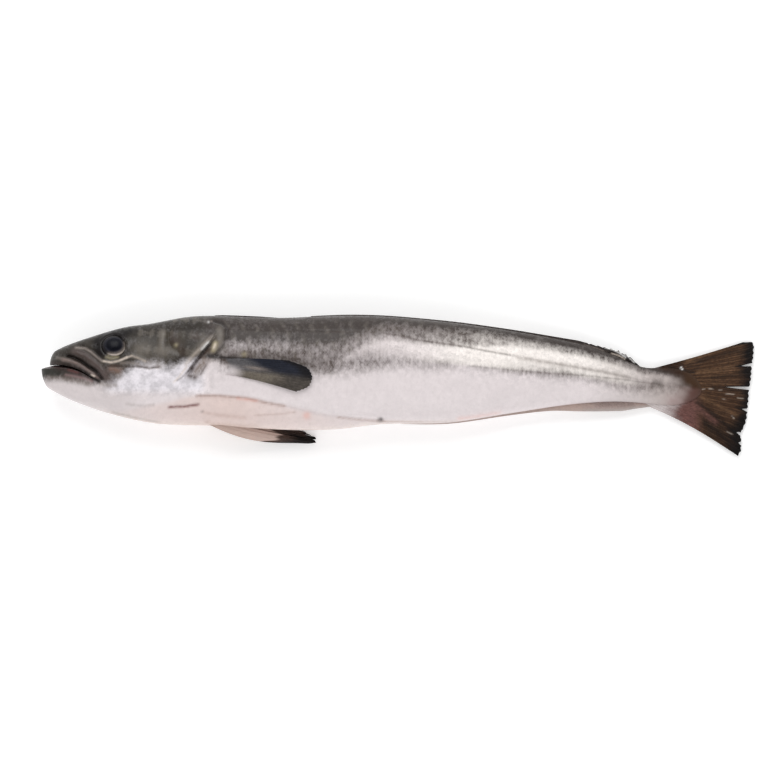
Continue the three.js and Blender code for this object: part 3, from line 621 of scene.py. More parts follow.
# ---- Meshes ------------------------------------------------------------------------------------
class Patch:
    """A grid of points, (rows, columns, 3) in millimetres, with values for each point by name. Its
    faces look outwards where the columns turn left of the rows, and turned flips them."""

    def __init__(self, points, turned=False, **values):
        self.points = points
        self.turned = turned
        self.values = values

    def quads(self):
        """Corner numbers of the faces between neighbouring rows and columns."""
        rows, columns = self.points.shape[:2]
        at = np.arange(rows * columns).reshape(rows, columns)
        corners = np.stack([at[:-1, :-1], at[1:, :-1], at[1:, 1:], at[:-1, 1:]], -1).reshape(-1, 4)
        return corners[:, ::-1] if self.turned else corners


def joined_mesh(name, patches, uv_name="skin"):
    """One mesh of several patches. Points at one place become one vertex, faces that this leaves
    with three corners stay triangles and those with fewer are dropped. The value uv becomes a UV
    map, and every other value an attribute of the points. Nothing stands out of the solids' box."""
    places = np.concatenate([p.points.reshape(-1, 3) for p in patches])
    values = {
        key: np.concatenate([p.values[key].reshape(p.points[..., 0].size, -1) for p in patches])
        for key in patches[0].values
    }
    places = np.clip(places, *(np.array(CAD_BOX) / MM))
    starts = np.cumsum([0] + [p.points[..., 0].size for p in patches])
    quads = np.concatenate([p.quads() + start for p, start in zip(patches, starts)])
    cells = np.round(places / MERGED_WITHIN).astype(np.int64)
    _, first, vertex = np.unique(cells, axis=0, return_index=True, return_inverse=True)
    vertex = vertex.ravel()
    merged = vertex[quads]
    keep = merged != np.roll(merged, -1, axis=1)
    size = keep.sum(1)
    keep, quads, size = keep[size >= 3], quads[size >= 3], size[size >= 3]
    corner = quads[keep]  # grid points, face by face
    mesh = bpy.data.meshes.new(name)
    mesh.vertices.add(len(first))
    mesh.vertices.foreach_set("co", (places[first] * MM).astype(np.float32).ravel())
    mesh.loops.add(len(corner))
    mesh.loops.foreach_set("vertex_index", vertex[corner].astype(np.int32))
    mesh.polygons.add(len(size))
    mesh.polygons.foreach_set("loop_start", (np.cumsum(size) - size).astype(np.int32))
    mesh.polygons.foreach_set("use_smooth", np.ones(len(size), bool))
    for key, value in values.items():
        if key == "uv":
            uv_map = mesh.uv_layers.new(name=uv_name)
            uv_map.uv.foreach_set("vector", value[corner].astype(np.float32).ravel())
        elif value.shape[1] == 1:
            stored = mesh.attributes.new(key, "FLOAT", "POINT")
            stored.data.foreach_set("value", value[first].astype(np.float32).ravel())
        else:
            stored = mesh.attributes.new(key, "FLOAT_COLOR", "POINT")
            filled = np.ones((len(first), 4), np.float32)
            filled[:, : value.shape[1]] = value[first]
            stored.data.foreach_set("color", filled.ravel())
    mesh.update(calc_edges=True)
    if mesh.validate():
        raise RuntimeError(f"{name}: the mesh had faults")
    return mesh


def add_piece(name, mesh, material, node, sharp=None):
    """Puts a piece of the fish in the scene, which rides with the fish and replaces a node."""
    if sharp is not None:
        mesh.set_sharp_from_angle(angle=math.radians(sharp))
    mesh.materials.append(material)
    piece = bpy.data.objects.new(name, mesh)
    bpy.context.scene.collection.objects.link(piece)
    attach(piece, "root")
    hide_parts(node)
    return piece


# ---- Body --------------------------------------------------------------------------------------
def opened(x):
    """How far the mouth is open along it: 0 at its corner and 1 at the snout's tip."""
    return ramp(x, MOUTH_CORNER, SNOUT_TIP)


def half_section(x, side):
    """Half section over (side 1) or under (side -1) the widest line: its middle height, its reach
    to the outline, its half width and its power. Both ends of the fish are rounded off."""
    if side > 0:
        tip, front, tall, outline, power = SNOUT_TIP, SNOUT_ROUNDING, NOSE_ROUNDING, back, square_above
    else:
        tip, front, tall, outline, power = JAW_TIP, JAW_ROUNDING, CHIN_ROUNDING, belly, square_below
    y = middle(x) + side * MOUTH_GAPE * opened(x) ** GAPE_POWER / 2
    reach = (outline(x) - y) * rounding(x - tip, tall) * rounding(BODY_END - x, TAIL_ROUNDING)
    width = half_width(x) * rounding(x - tip, front) * rounding(BODY_END - x, TAIL_THINNING)
    return y, reach, width, power(x)


def from_eye(x, y):
    """Distance from the eye's middle in the side's plane, 1 on the edge of its socket."""
    return np.hypot((x - EYE["x"]) / EYE["half"][0], (y - EYE["y"]) / EYE["half"][1])


def relief(x, y):
    """How far the skin stands out: the rim round the eye and the bowl under it, and a bell across
    every line and spot, summed in the side's plane."""
    away, rim, bowl = from_eye(x, y), EYE["rim"], EYE["bowl"]
    total = rim["height"] * bell(away - rim["at"], rim["width"])
    total = total - bowl["depth"] * rise(away, 1, 1 - bowl["softness"])
    for width, height, line in SIDE_FORMS:
        total = total + height * bell(distance_to_line(x, y, line), width)
    return total


def gill_relief(behind, level, sizes):
    """The gill cover's raised edge, the slit behind it and the membrane that shows in the slit: a
    bell on the cover's rim, a flap behind it, a steep step down, and a slow rise after it. It fades
    at the top, and is weaker towards the throat."""
    throat = THROAT_SHARE * ramp(level, *THROAT_FADE)
    fade = ramp(level, *GILL_TOP_FADE) * mix(throat, 1, rise(level, *GILL_LOW_FADE))
    past_flap = behind - sizes.gill_flap / MM
    down = rise(past_flap, *SLIT_STEP)
    lip = sizes.gill_lip / MM * (0.7 * bell(behind, GILL_RIM_WIDTH) + 0.6 * rise(behind, *GILL_SWELL))
    slit = sizes.gill_slit / MM * down * rise(past_flap, *SLIT_END)
    return fade * (lip * (1 - down) - slit)


def skin_points(station, row, side, hand, sizes):
    """Points of half rings: a superellipse in each ring's plane, pushed out by the relief along its
    normal. Rings between the mouth and the shoulder lean to follow the gill cover's edge. On the
    right side nothing is lower than the table, or than the fin that holds the belly up."""
    level = side * row
    end = np.where(station < GILL_STATION, MOUTH_CORNER, SHOULDER)
    share = clamp((station - end) / (GILL_STATION - end))
    x = station + share * (gill_edge(level) - GILL_STATION)
    y, reach, width, power = half_section(x, side)
    row = row + 0 * x
    out = clamp(1 - row**power) ** (1 / power)
    flat_y, z = y + reach * row, hand * width * out
    normal_y = np.sign(reach) * row ** (power - 1) / np.maximum(np.abs(reach), LEAST_HALF)
    normal_z = hand * out ** (power - 1) / np.maximum(width, LEAST_HALF)
    length = np.maximum(np.hypot(normal_y, normal_z), 1e-6)
    fade = clamp(width / RELIEF_WIDTH) * clamp(out / RELIEF_EDGE)
    height = relief(x, flat_y) + gill_relief(station - GILL_STATION, level, sizes)
    y = flat_y + height * fade * normal_y / length
    z = z + height * fade * normal_z / length + midplane(x)
    if hand < 0:
        far_x = (x - HELD_UP["x"]) / HELD_UP["half_length"]
        far = np.hypot(far_x, (y - HELD_UP["y"]) / HELD_UP["half_height"])
        z = np.maximum(z, HELD_UP["height"] * ramp(far, HELD_UP["edge"], 1))
    return np.stack([x, y, z], -1)


def rows_of(count):
    """Relative heights from the widest line to the outline, the sine of an angle that grows by a
    power, so they are close together at both ends."""
    return np.sin(np.pi / 2 * (np.arange(count + 1) / count) ** ROW_SKEW)


def outer_half(stations, side, sizes):
    """Skin from the left widest line round the back, or under the belly, to the right one."""
    left, right = ROWS[side]
    over = skin_points(stations[:, None], rows_of(left)[None], side, 1, sizes)
    down = skin_points(stations[:, None], rows_of(right)[::-1][None, 1:], side, -1, sizes)
    return np.concatenate([over, down], 1)


def lining(x, side, shrink=1.0):
    """Mouth's lining: an arch from the left inner lip to the right one, across each section."""
    share = np.linspace(0, 1, LINING_POINTS)[None]
    x, shrink = x[:, None], np.asarray(shrink)[..., None]
    y, _, width, _ = half_section(np.minimum(x, MOUTH_CORNER), side)
    inner = np.maximum(width - LIP_THICKNESS, width * LEAST_LINING) * shrink
    arch = (PALATE_ARCH if side > 0 else TONGUE_ARCH) * clamp(width / ARCH_WIDTH) * shrink
    z = midplane(x) + inner * np.cos(np.pi * share)
    return np.stack([x + 0 * share, y + arch * np.sin(np.pi * share), z], -1)


def lips(outer, inner, side):
    """Rounded lips between the skin's edge and the lining's: a half wave that stands into the gape
    by a share of it."""
    share = np.linspace(0, 1, LIP_POINTS + 1)[None, :, None]
    across = mix(outer[:, None], inner[:, None], share)
    gape = MOUTH_GAPE * opened(outer[:, 0])
    round_off = clamp(np.linalg.norm(outer - inner, axis=1))
    across[..., 1] -= side * LIP_ROLL * (gape * round_off)[:, None] * np.sin(np.pi * share[..., 0])
    return across


def from_tip(tip, end, steps):
    """Stations from a rounded end, close together there: t squared times (2 - t)."""
    t = np.arange(steps + 1) / steps
    return mix(tip, end, t**2 * (2 - t))


def trunk_stations():
    """Stations of the rings from the mouth's corner to the tail."""
    gill = GILL_STATION + np.array(GILL_STEPS)
    tail = BODY_END - TAIL_ROUNDING
    return np.concatenate([
        np.linspace(MOUTH_CORNER, gill[0], CHEEK_STEPS + 1)[:-1],
        gill,
        np.linspace(gill[-1], SHOULDER, SHOULDER_STEPS + 1)[1:-1],
        np.linspace(SHOULDER, tail, TRUNK_STEPS + 1)[:-1],
        from_tip(BODY_END, tail, TAIL_STEPS)[::-1],
    ])


def along_skin(points, side):
    """UV of a half's skin in metres: u is x, and v the way round from the left widest line, over
    the back above 0 and under the belly below it."""
    steps = np.linalg.norm(np.diff(points, axis=1), axis=2)
    round_way = np.concatenate([np.zeros((len(points), 1)), np.cumsum(steps, 1)], 1)
    return np.stack([points[..., 0], side * round_way], -1) * MM


# ---- Skin's colours ----------------------------------------------------------------------------
def tint_of(name):
    """A colour that the sidebar holds, as three linear numbers."""
    return np.array(getattr(bpy.context.scene.hake_colours, name)[:])


def layers(under, named_shares):
    """Named colours laid one over the other, each by its share at each point."""
    for name, share in named_shares:
        under = mix(under, tint_of(name), share[..., None])
    return under


def pigment_at(x, y):
    """Dark pigment from 0 to 1: full over one curve, down to a share at its edge, and none under
    that, less a bell across the stripe, with a bell of its own across the mottled band."""
    full, edge = shade_full(x), shade_edge(x)
    paler = stripe["strength"](x) * bell(y - stripe["height"](x), stripe["width"](x))
    thinning = mix(edge_share(x), 1, ramp(y, edge, full))
    from_back = clamp(step(y - edge, 2 * edge_softness(x)) * thinning - paler)
    off = y - band["height"](x)
    speckled = band["strength"](x) * bell(off, np.where(off > 0, band["up"](x), band["down"](x)))
    return np.maximum(from_back, 1 - (1 - speckled) * (1 - 0.5 * from_back))


def ground_colours(x, y):
    """Colours under the marks: the pale one where there is no pigment and the dark one where there
    is, both mixed from named colours by soft steps over x and y."""
    over_band = y - band["height"](x)
    trunk, head, away = rise(x, -106, -98), rise(x, -104, -112), from_eye(x, y)
    pale = layers(tint_of("belly"), [
        ("throat", step(warm_below(x) - y, 4) * warm_share(x)),
        ("cream", 0.4 * rise(belly(x) - y, -3.5, 1.5) * rise(x, -180, -150) * rise(x, 60, 0)),
        ("silver", rise(over_band, -0.9, 2.1) * rise(x, -12, 48) * rise(x, 150, 120)),
        ("ash", 0.16 * rise(x, -136, -160)),
        ("ash", 0.26 * rise(over_band, 0, 8) * rise(x, 34, -6) * rise(x, -60, -20)),
        ("cheek", rise(y, -6, 0) * rise(x, -106, -112) * rise(x, -168, -158)),
        ("stem", stem_grey(x)),
    ])
    streaks = smooth(1.8 * waves(1.3 * x + 0.5 * y, 0.8 * y, seed=53, longest=10) - 0.2)
    blotches = smooth(1.8 * waves(x, y, seed=47, longest=9))
    above_eye = rise(y - EYE["y"] - 0.8 * (x - EYE["x"]), -3, 2)
    dark = layers(tint_of("back"), [
        ("flank", rise(shade_full(x) - y, 0, 5) * trunk),
        # Soft lighter streaks run down the back.
        ("stone", 0.26 * streaks * trunk * rise(x, 40, 0) * rise(y, 39, 33)),
        ("head", head),
        # Round the eye, above and before it, the head is nearly black.
        ("fin_black", rise(away, 1.75, 1.25) * above_eye),
        ("stone", 0.34 * head * rise(away, 1.4, 2.4) * blotches * rise(x, -178, -166)),
    ])
    # Behind its end the stem takes the tail fin's own colours, a little darker.
    ended = stem_ended(x, y)[..., None]
    root = tail_root(x, y) * (1 - 0.16 * rise(x, 158, 166)[..., None])
    return mix(pale, root, ended), mix(dark, root, ended)


def stem_ended(x, y):
    """How far the stem has gone over into the tail fin: a soft step over x, at a place that is a
    curve over y, a little ragged."""
    return step(x - stem_end(y) - 1.6 * waves(x, y, seed=31, longest=7), 14)


def tail_root(x, y):
    """Colour round the tail fin's root: brown above, reddish grey in the middle and reddish below,
    each over a soft step of y, and all of them fading into the fin's own brown along x."""
    y = y + 1.2 * waves(x, y, seed=37, longest=9)
    root = layers(tint_of("caudal_low"), [("caudal_root", step(y + 8.5, 5)), ("caudal", step(y + 0.5, 4))])
    own = mix(tint_of("caudal"), tint_of("caudal_ray"), 0.3)
    return mix(root, own, fin_own(x, y)[..., None])


def fin_own(x, y):
    """How far the root's colours have gone over into the fin's own: a soft step over x, which lies
    further out low on the fin."""
    return rise(x - 8 * rise(y, 3, -3), 156, 167)


def marks_at(x, y, lines):
    """Marks over the ground: each a bell across its line or spot, laid one over the other. Gives
    their colour and how far they cover."""
    colour, cover = np.zeros(x.shape + (3,)), np.zeros(x.shape)
    for name, width, strength, line in lines:
        share = strength * bell(distance_to_line(x, y, line), width)
        colour = layers(colour, [(name, share)])
        cover = cover + share * (1 - cover)
    return np.concatenate([colour / np.maximum(cover, 1e-4)[..., None], cover[..., None]], -1)


def marked(tint, x, y, lines):
    """A fin's tint with painted lines over it."""
    marks = marks_at(x, y + 0 * x, lines)
    return mix(tint, marks[..., :3], marks[..., 3:])


def skin_values(points, uv):
    """Everything that the skin's material reads at each point, from its x and y."""
    x, y = points[..., 0], points[..., 1]
    pale, dark = ground_colours(x, y)
    pigment = pigment_at(x, y)
    over_band = y - band["height"](x)
    silver = rise(over_band, -1.2, 2.8) * rise(x, -60, -10) * rise(x, 158, 144)
    cheek = rise(y, -8, -2) * rise(x, -100, -108) * rise(x, -176, -162)
    # Marks fade where the skin turns away over the back or under the belly.
    reach = np.where(y > middle(x), back(x) - middle(x), middle(x) - belly(x))
    marks = marks_at(x, y, PAINTED)
    marks[..., 3] *= 1 - 0.75 * rise(np.abs(y - middle(x)) / reach, 0.94, 0.99)
    return {
        "uv": uv,
        "pale": pale,
        "dark": dark,
        "mark": marks,
        "pigment": pigment,
        "scales": rise(x, -108, -98) * rise(x, 158, 150) * rise(over_band, -10, 0),
        "shine": np.maximum(silver, 0.7 * cheek) * (1 - pigment),
    }


def mouth_values(points):
    """The same for the mouth's lining: gum, with no scales and no silver."""
    flat = np.zeros(points.shape[:2])
    gum = np.broadcast_to(tint_of("gum"), points.shape)
    return {
        "uv": points[..., :2] * MM,
        "pale": gum,
        "dark": gum,
        "mark": np.zeros(points.shape[:2] + (4,)),
        "pigment": flat,
        "scales": flat,
        "shine": flat,
    }


# ---- Fins --------------------------------------------------------------------------------------
def fin_grid(fin, per_ray):
    """Shares along the rays, as a column, and across from ray to ray, as a row."""
    across = np.linspace(0, 1, fin["rays"] * per_ray + 1)
    for at, half, _ in fin.get("splits", []):
        # Columns next to a split move to its mouth and its bottom.
        for place in (at - half, at, at + half):
            across[np.abs(across - place).argmin()] = place
    return np.linspace(0, 1, fin.get("steps", FOLDED_STEPS) + 1)[:, None], across[None]


def fan_plan(fin, along, across, fringe):
    """Plan of a fan-shaped fin: straight rays from its root to its margin, whose outer edges bow by
    a half sine, with the margin scalloped between rays, cut at the splits and a little ragged."""
    root = [mix(low, high, across) for low, high in zip(fin["low"], fin["high"])]
    reach_x = curve(fin["margin_x"])(across) - root[0]
    cuts = [
        depth * clamp(1 - np.abs(across - at) / half) ** SPLIT_POWER for at, half, depth in fin["splits"]
    ]
    scallop = fringe * (1 - np.cos(2 * np.pi * fin["rays"] * across)) * 0.5
    ragged = fringe * 0.5 * (1 + waves(across * 100, 0, fin["margin_seed"], longest=16))
    lost = np.max([0 * across, *cuts], axis=0)
    reach = along * (1 - (lost + scallop + ragged) / reach_x)
    low, high = fin["bow"]
    bow = high * across**3 + low * (1 - across) ** 3
    y = mix(root[1], curve(fin["margin_y"])(across), reach) + bow * np.sin(np.pi * reach)
    return root[0] + reach_x * reach, y


def ray_height(rays, along, across):
    """Ridge of each ray from 0 between rays to 1 on them. Past the middle each ray parts in two."""
    single = 0.5 + 0.5 * np.cos(2 * np.pi * rays * across)
    double = 0.5 + 0.5 * np.cos(4 * np.pi * rays * across)
    return mix(single**RAY_POWER, mix(single, double, PARTED_SHARE), rise(along, *RAY_PARTING))


def rayed_thickness(fin, along, across, relief_height):
    """Thickness that goes from the root's to the margin's with the square root of the way along,
    and thins between rays, more so towards the margin."""
    root, margin = fin["thickness"]
    between = 1 - ray_height(fin["rays"], along, across)
    return mix(root, margin + relief_height, along**0.5) - relief_height * between * clamp(along * 3)


def closed_sheet(x, y, z, thickness, values):
    """Patches of a closed sheet: its upper and lower faces, and the rims that join them, with the
    thickness split over z."""
    top = np.stack([x + 0 * z, y + 0 * z, z + thickness / 2], -1)
    bottom = np.stack([x + 0 * z, y + 0 * z, z - thickness / 2], -1)

    patches = [Patch(top, **values), Patch(bottom, True, **values)]
    first, last, whole = 0, -1, slice(None)
    rims = [((whole, first), False), ((whole, last), True), ((first, whole), True), ((last, whole), False)]
    for cut, turned in rims:
        picked = {key: np.stack([value[cut], value[cut]], 1) for key, value in values.items()}
        patches.append(Patch(np.stack([top[cut], bottom[cut]], 1), turned, **picked))
    return patches


def fin_values(fin, along, across):
    """What a fin's material reads: the membrane's colour, the rays' over it, the root's before them
    and the margin's at the end, and how much of a ray each point is."""
    along, across = np.broadcast_arrays(along, across)
    ray = ray_height(fin["rays"], along, across)
    membrane, ray_colour, root_colour, margin_colour = fin["colours"]
    root_end, margin_start, margin_end = fin["fades"]
    uneven = 0.5 + 0.5 * waves(across * 60, along * 12, fin.get("tint_seed", FOLDED_SEED), longest=14)
    from_margin = rise(along + 0.1 * (uneven - 0.5), margin_start, margin_end)
    tint = layers(tint_of(membrane), [
        (ray_colour, ray * mix(0.3, 1, uneven**2)),
        (root_colour, rise(along, root_end, 0)),
        (margin_colour, from_margin),
    ])
    return {"uv": np.stack([along, across], -1), "tint": tint, "ray": ray * rise(along, 0, 0.3)}


def pectoral_tint(values, along, across):
    """The pectoral fin's colours, mixed by soft steps along and across it: a slate front over a khaki low
    part, a blue-black upper rear part with a black tip, and a pale streak of painted highlight between."""
    low = layers(tint_of("pectoral_low"), [("pectoral_ray", rise(along, 0.62, 0.82))])
    high = layers(tint_of("pectoral_front"), [("pectoral", rise(along, 0.42, 0.62))])
    ground = mix(low, high, step(across - mix(0.42, 0.5, along), 0.24)[..., None])
    # Painted highlight: a pale streak across the fin's middle.
    streak = bell(along - 0.5, 0.1) * bell(across - 0.6 + 0.2 * (along - 0.5), 0.07)
    tip = rise(along, 0.86, 0.94) * rise(across, 0.35, 0.55)
    ground = layers(ground, [("ash", 0.8 * streak), ("fin_black", 0.75 * tip)])
    ground = ground * (1 + 0.35 * (values["ray"] - 0.5) * rise(along, 0.5, 0.8))[..., None]
    white = rise(0.36 - along + 0.1 * (1 - across), 0, 0.16) * rise(across, 0.86, 0.36)
    return layers(ground, [("belly", 0.9 * white)])


def flank_height(x, y_at):
    """Height of the left flank over the table at a point of the side, without its relief."""
    total = 0
    for side in (1, -1):
        y, reach, width, power = half_section(x, side)
        up = clamp(np.abs((y_at - y) / reach))
        here = (y_at > middle(x)) == (side > 0)
        total = total + here * (midplane(x) + width * (1 - up**power) ** (1 / power))
    return total


# ---- Shader node groups ------------------------------------------------------------------------
def node(tree, kind, settings=None, **inputs):
    """A new node with its settings and inputs. An input's name has _ for each space, and its value
    is a number, a colour or another node's output."""
    made = tree.nodes.new(kind)
    for key, value in (settings or {}).items():
        setattr(made, key, value)
    for key, value in inputs.items():
        socket = made.inputs[int(key[1:])] if key[1:].isdigit() else made.inputs[key.replace("_", " ")]
        if isinstance(value, bpy.types.NodeSocket):
            tree.links.new(value, socket)
        else:
            socket.default_value = value
    return made


def maths(tree, operation, a, b=0.0, limited=False):
    """One operation on two numbers or outputs, held from 0 to 1 where it is limited."""
    settings = {"operation": operation, "use_clamp": limited}
    return node(tree, "ShaderNodeMath", settings, i0=a, i1=b).outputs[0]


def product(tree, *factors):
    """Product of numbers or outputs."""
    return functools.reduce(lambda a, b: maths(tree, "MULTIPLY", a, b), factors)


def total(tree, *terms):
    """Sum of numbers or outputs."""
    return functools.reduce(lambda a, b: maths(tree, "ADD", a, b), terms)


def blended(tree, a, b, share):
    """Colour a changed towards b by a share."""
    return node(tree, "ShaderNodeMix", {"data_type": "RGBA"}, i0=share, i6=a, i7=b).outputs[2]


def toned(tree, colour, tone):
    """A colour made darker or lighter by a tone."""
    return node(tree, "ShaderNodeHueSaturation", Value=tone, Color=colour).outputs[0]


def ranged(tree, value, low, high, to_low=0.0, to_high=1.0):
    """A value taken from one range to another, held at both ends, with soft ends."""
    settings = {"interpolation_type": "SMOOTHSTEP"}
    ends = {"From_Min": low, "From_Max": high, "To_Min": to_low, "To_Max": to_high}
    return node(tree, "ShaderNodeMapRange", settings, Value=value, **ends).outputs[0]


def bumped(tree, height, strength, distance):
    """Normal of a surface whose bump has a height, a strength and a depth in metres."""
    return node(tree, "ShaderNodeBump", Strength=strength, Distance=distance, Height=height).outputs[0]


def attribute(tree, name, output="Fac"):
    """Output of an attribute of the points."""
    return node(tree, "ShaderNodeAttribute", {"attribute_name": name}).outputs[output]


def new_group(name, numbers, outputs):
    """An empty node group. It takes a vector and numbers, each with its default, and puts out
    numbers."""
    group = bpy.data.node_groups.new(name, "ShaderNodeTree")
    group.interface.new_socket("Vector", in_out="INPUT", socket_type="NodeSocketVector")
    for label, value in numbers.items():
        socket = group.interface.new_socket(label, in_out="INPUT", socket_type="NodeSocketFloat")
        socket.default_value = value
    for label in outputs:
        group.interface.new_socket(label, in_out="OUTPUT", socket_type="NodeSocketFloat")
    return group, group.nodes.new("NodeGroupInput").outputs, group.nodes.new("NodeGroupOutput").inputs


def mottle_group():
    """Mottle: flecks at a scale, from 0 to 1, drawn out by its stretch across the way along."""
    numbers = {"Scale": 600.0, "Stretch": 2.0, "Sharpness": 0.5}
    group, given, result = new_group("mottle", numbers, ["Value"])
    split = node(group, "ShaderNodeSeparateXYZ", Vector=given["Vector"]).outputs
    u = product(group, split[0], given["Stretch"])
    place = node(group, "ShaderNodeCombineXYZ", X=u, Y=split[1], Z=split[2]).outputs[0]
    grain = {"Scale": given["Scale"], "Detail": 3.0, "Roughness": 0.6}
    noise = node(group, "ShaderNodeTexNoise", Vector=place, **grain).outputs["Fac"]
    # Sharp flecks use less of the noise's range.
    low = total(group, product(group, given["Sharpness"], 0.22), 0.24)
    high = maths(group, "SUBTRACT", 1.0, low)
    group.links.new(ranged(group, noise, low, high), result["Value"])
    return group


def scale_group():
    """Scales: overlapping rows on a surface's own u and v, a little wavy. Gives each scale's height,
    its dark rear edge and a tone of its own."""
    group, given, result = new_group("scale rows", {"Pitch": 0.002}, ["Height", "Edge", "Tone"])
    flat = {"noise_dimensions": "2D"}
    wobble = node(group, "ShaderNodeTexNoise", flat, Vector=given["Vector"], Scale=160.0, Detail=1.0)
    centred = {"i0": wobble.outputs["Color"], "i1": (0.5, 0.5, 0.5)}
    moved = node(group, "ShaderNodeVectorMath", {"operation": "SUBTRACT"}, **centred).outputs[0]
    moved = node(group, "ShaderNodeVectorMath", {"operation": "SCALE"}, i0=moved, Scale=0.0012).outputs[0]
    place = node(group, "ShaderNodeVectorMath", {"operation": "ADD"}, i0=given["Vector"], i1=moved).outputs[0]
    split = node(group, "ShaderNodeSeparateXYZ", Vector=place).outputs
    u = maths(group, "DIVIDE", split[0], given["Pitch"])
    v = maths(group, "DIVIDE", split[1], given["Pitch"])
    row = maths(group, "FLOOR", u)
    # Every second row is moved by half a scale.
    odd = maths(group, "MODULO", maths(group, "ABSOLUTE", row), 2.0)
    shifted = total(group, v, product(group, odd, 0.5))
    column = maths(group, "FLOOR", shifted)
    across = maths(group, "SUBTRACT", maths(group, "SUBTRACT", shifted, column), 0.5)
    # A scale's rear edge is an arc: it lies further back in the scale's middle.
    arc = product(group, across, across, 1.4)
    height = maths(group, "FRACT", total(group, maths(group, "SUBTRACT", u, row), arc))
    group.links.new(height, result["Height"])
    group.links.new(ranged(group, height, 0.72, 0.98), result["Edge"])
    cell_row = maths(group, "FLOOR", total(group, u, arc))
    cell = node(group, "ShaderNodeCombineXYZ", X=cell_row, Y=column).outputs[0]
    tone = node(group, "ShaderNodeTexWhiteNoise", flat, Vector=cell).outputs["Value"]
    group.links.new(tone, result["Tone"])
    return group


def placed_group(tree, name, make, **inputs):
    """Outputs of one use of a node group, which is made the first time that it is asked for."""
    group = bpy.data.node_groups.get(name) or make()
    return node(tree, "ShaderNodeGroup", {"node_tree": group}, **inputs).outputs


def mottled(tree, place, scale, stretch, sharpness):
    """Flecks over a place, from 0 to 1."""
    inputs = {"Scale": scale, "Stretch": stretch, "Sharpness": sharpness}
    return placed_group(tree, "mottle", mottle_group, Vector=place, **inputs)["Value"]


def uv_place(tree, name):
    """Place on a piece's own UV map."""
    return node(tree, "ShaderNodeUVMap", {"uv_map": name}).outputs[0]


def object_place(tree):
    """Place in the piece's own coordinates."""
    return node(tree, "ShaderNodeTexCoord").outputs["Object"]


def material_of(name, finish, settings):
    """The material of a name, made the first time that it is asked for. Its finish gives what each
    of the shader's sockets gets: an output, or a constant."""
    made = bpy.data.materials.get(name)
    if made:
        return made
    made = bpy.data.materials.new(name)
    made.use_nodes = True
    tree = made.node_tree
    shader = tree.nodes["Principled BSDF"]
    for label, value in finish(tree, settings).items():
        if isinstance(value, bpy.types.NodeSocket):
            tree.links.new(value, shader.inputs[label])
        else:
            shader.inputs[label].default_value = value
    return made


def skin_finish(tree, look):
    """Wet skin: pigment breaks up into flecks between the pale and the dark ground, scales catch
    the light on the silver, and the marks lie over both."""
    uv = uv_place(tree, "skin")
    flecks = mottled(tree, uv, scale=260.0, stretch=1.5, sharpness=0.15)
    fine = mottled(tree, uv, scale=700.0, stretch=1.25, sharpness=0.2)
    broad = mottled(tree, uv, scale=75.0, stretch=0.8, sharpness=0.3)
    patches = mottled(tree, uv, scale=190.0, stretch=1.1, sharpness=0.45)
    rows = placed_group(tree, "scale rows", scale_group, Vector=uv, Pitch=look.scale_pitch)
    scaled, pigment, shine = (attribute(tree, name) for name in ("scales", "pigment", "shine"))
    # Middling pigment breaks up most, so the noise counts by how far it is from 0 and 1.
    loose = product(tree, pigment, maths(tree, "SUBTRACT", 1.0, pigment), 4.0)
    weighed = [product(tree, flecks, 0.46), product(tree, fine, 0.24), product(tree, broad, 0.3)]
    noise = total(tree, *weighed, -0.5)
    amount = product(tree, noise, total(tree, loose, 0.36), look.mottling)
    cover = maths(tree, "ADD", pigment, amount, limited=True)
    edge = product(tree, rows["Edge"], scaled, look.scale_edge, total(tree, loose, 0.2))
    cover = maths(tree, "ADD", cover, edge, limited=True)
    ground = blended(tree, attribute(tree, "pale", "Color"), attribute(tree, "dark", "Color"), cover)
    # Single scales are lighter or darker, and broad clouds lie over the whole skin.
    patchy = total(tree, product(tree, scaled, 0.8), 0.2)
    spread = total(tree, product(tree, rows["Tone"], 0.5), product(tree, fine, 0.5), -0.5)
    spread = product(tree, spread, patchy, 0.34)
    # The cheek is silver without scales, and breaks up into mother-of-pearl patches.
    bare = maths(tree, "SUBTRACT", 1.0, scaled)
    pearl = product(tree, shine, bare, total(tree, patches, -0.55), 0.42)
    clouds = ranged(tree, broad, 0.0, 1.0, 0.97, 1.03)
    bright = toned(tree, ground, product(tree, total(tree, spread, pearl, 1.0), clouds))
    mark = node(tree, "ShaderNodeAttribute", {"attribute_name": "mark"}).outputs
    broken = product(tree, mark["Alpha"], ranged(tree, flecks, 0.1, 0.7, 0.72, 1.0))
    grain = total(tree, product(tree, fine, 0.28), product(tree, flecks, 0.4))
    height = total(tree, product(tree, rows["Height"], scaled, 0.5), grain)
    return {
        "Base Color": blended(tree, bright, mark["Color"], broken),
        "Metallic": product(tree, shine, ranged(tree, flecks, 0.0, 1.0, 0.06, 0.2)),
        "Roughness": ranged(tree, flecks, 0.0, 1.0, look.roughness - 0.08, look.roughness + 0.1),
        "Coat Weight": look.wetness,
        "Coat Roughness": 0.12,
        "Coat IOR": 1.34,
        "Specular IOR Level": 0.12,
        "Normal": bumped(tree, height, strength=look.bump, distance=0.0004),
    }


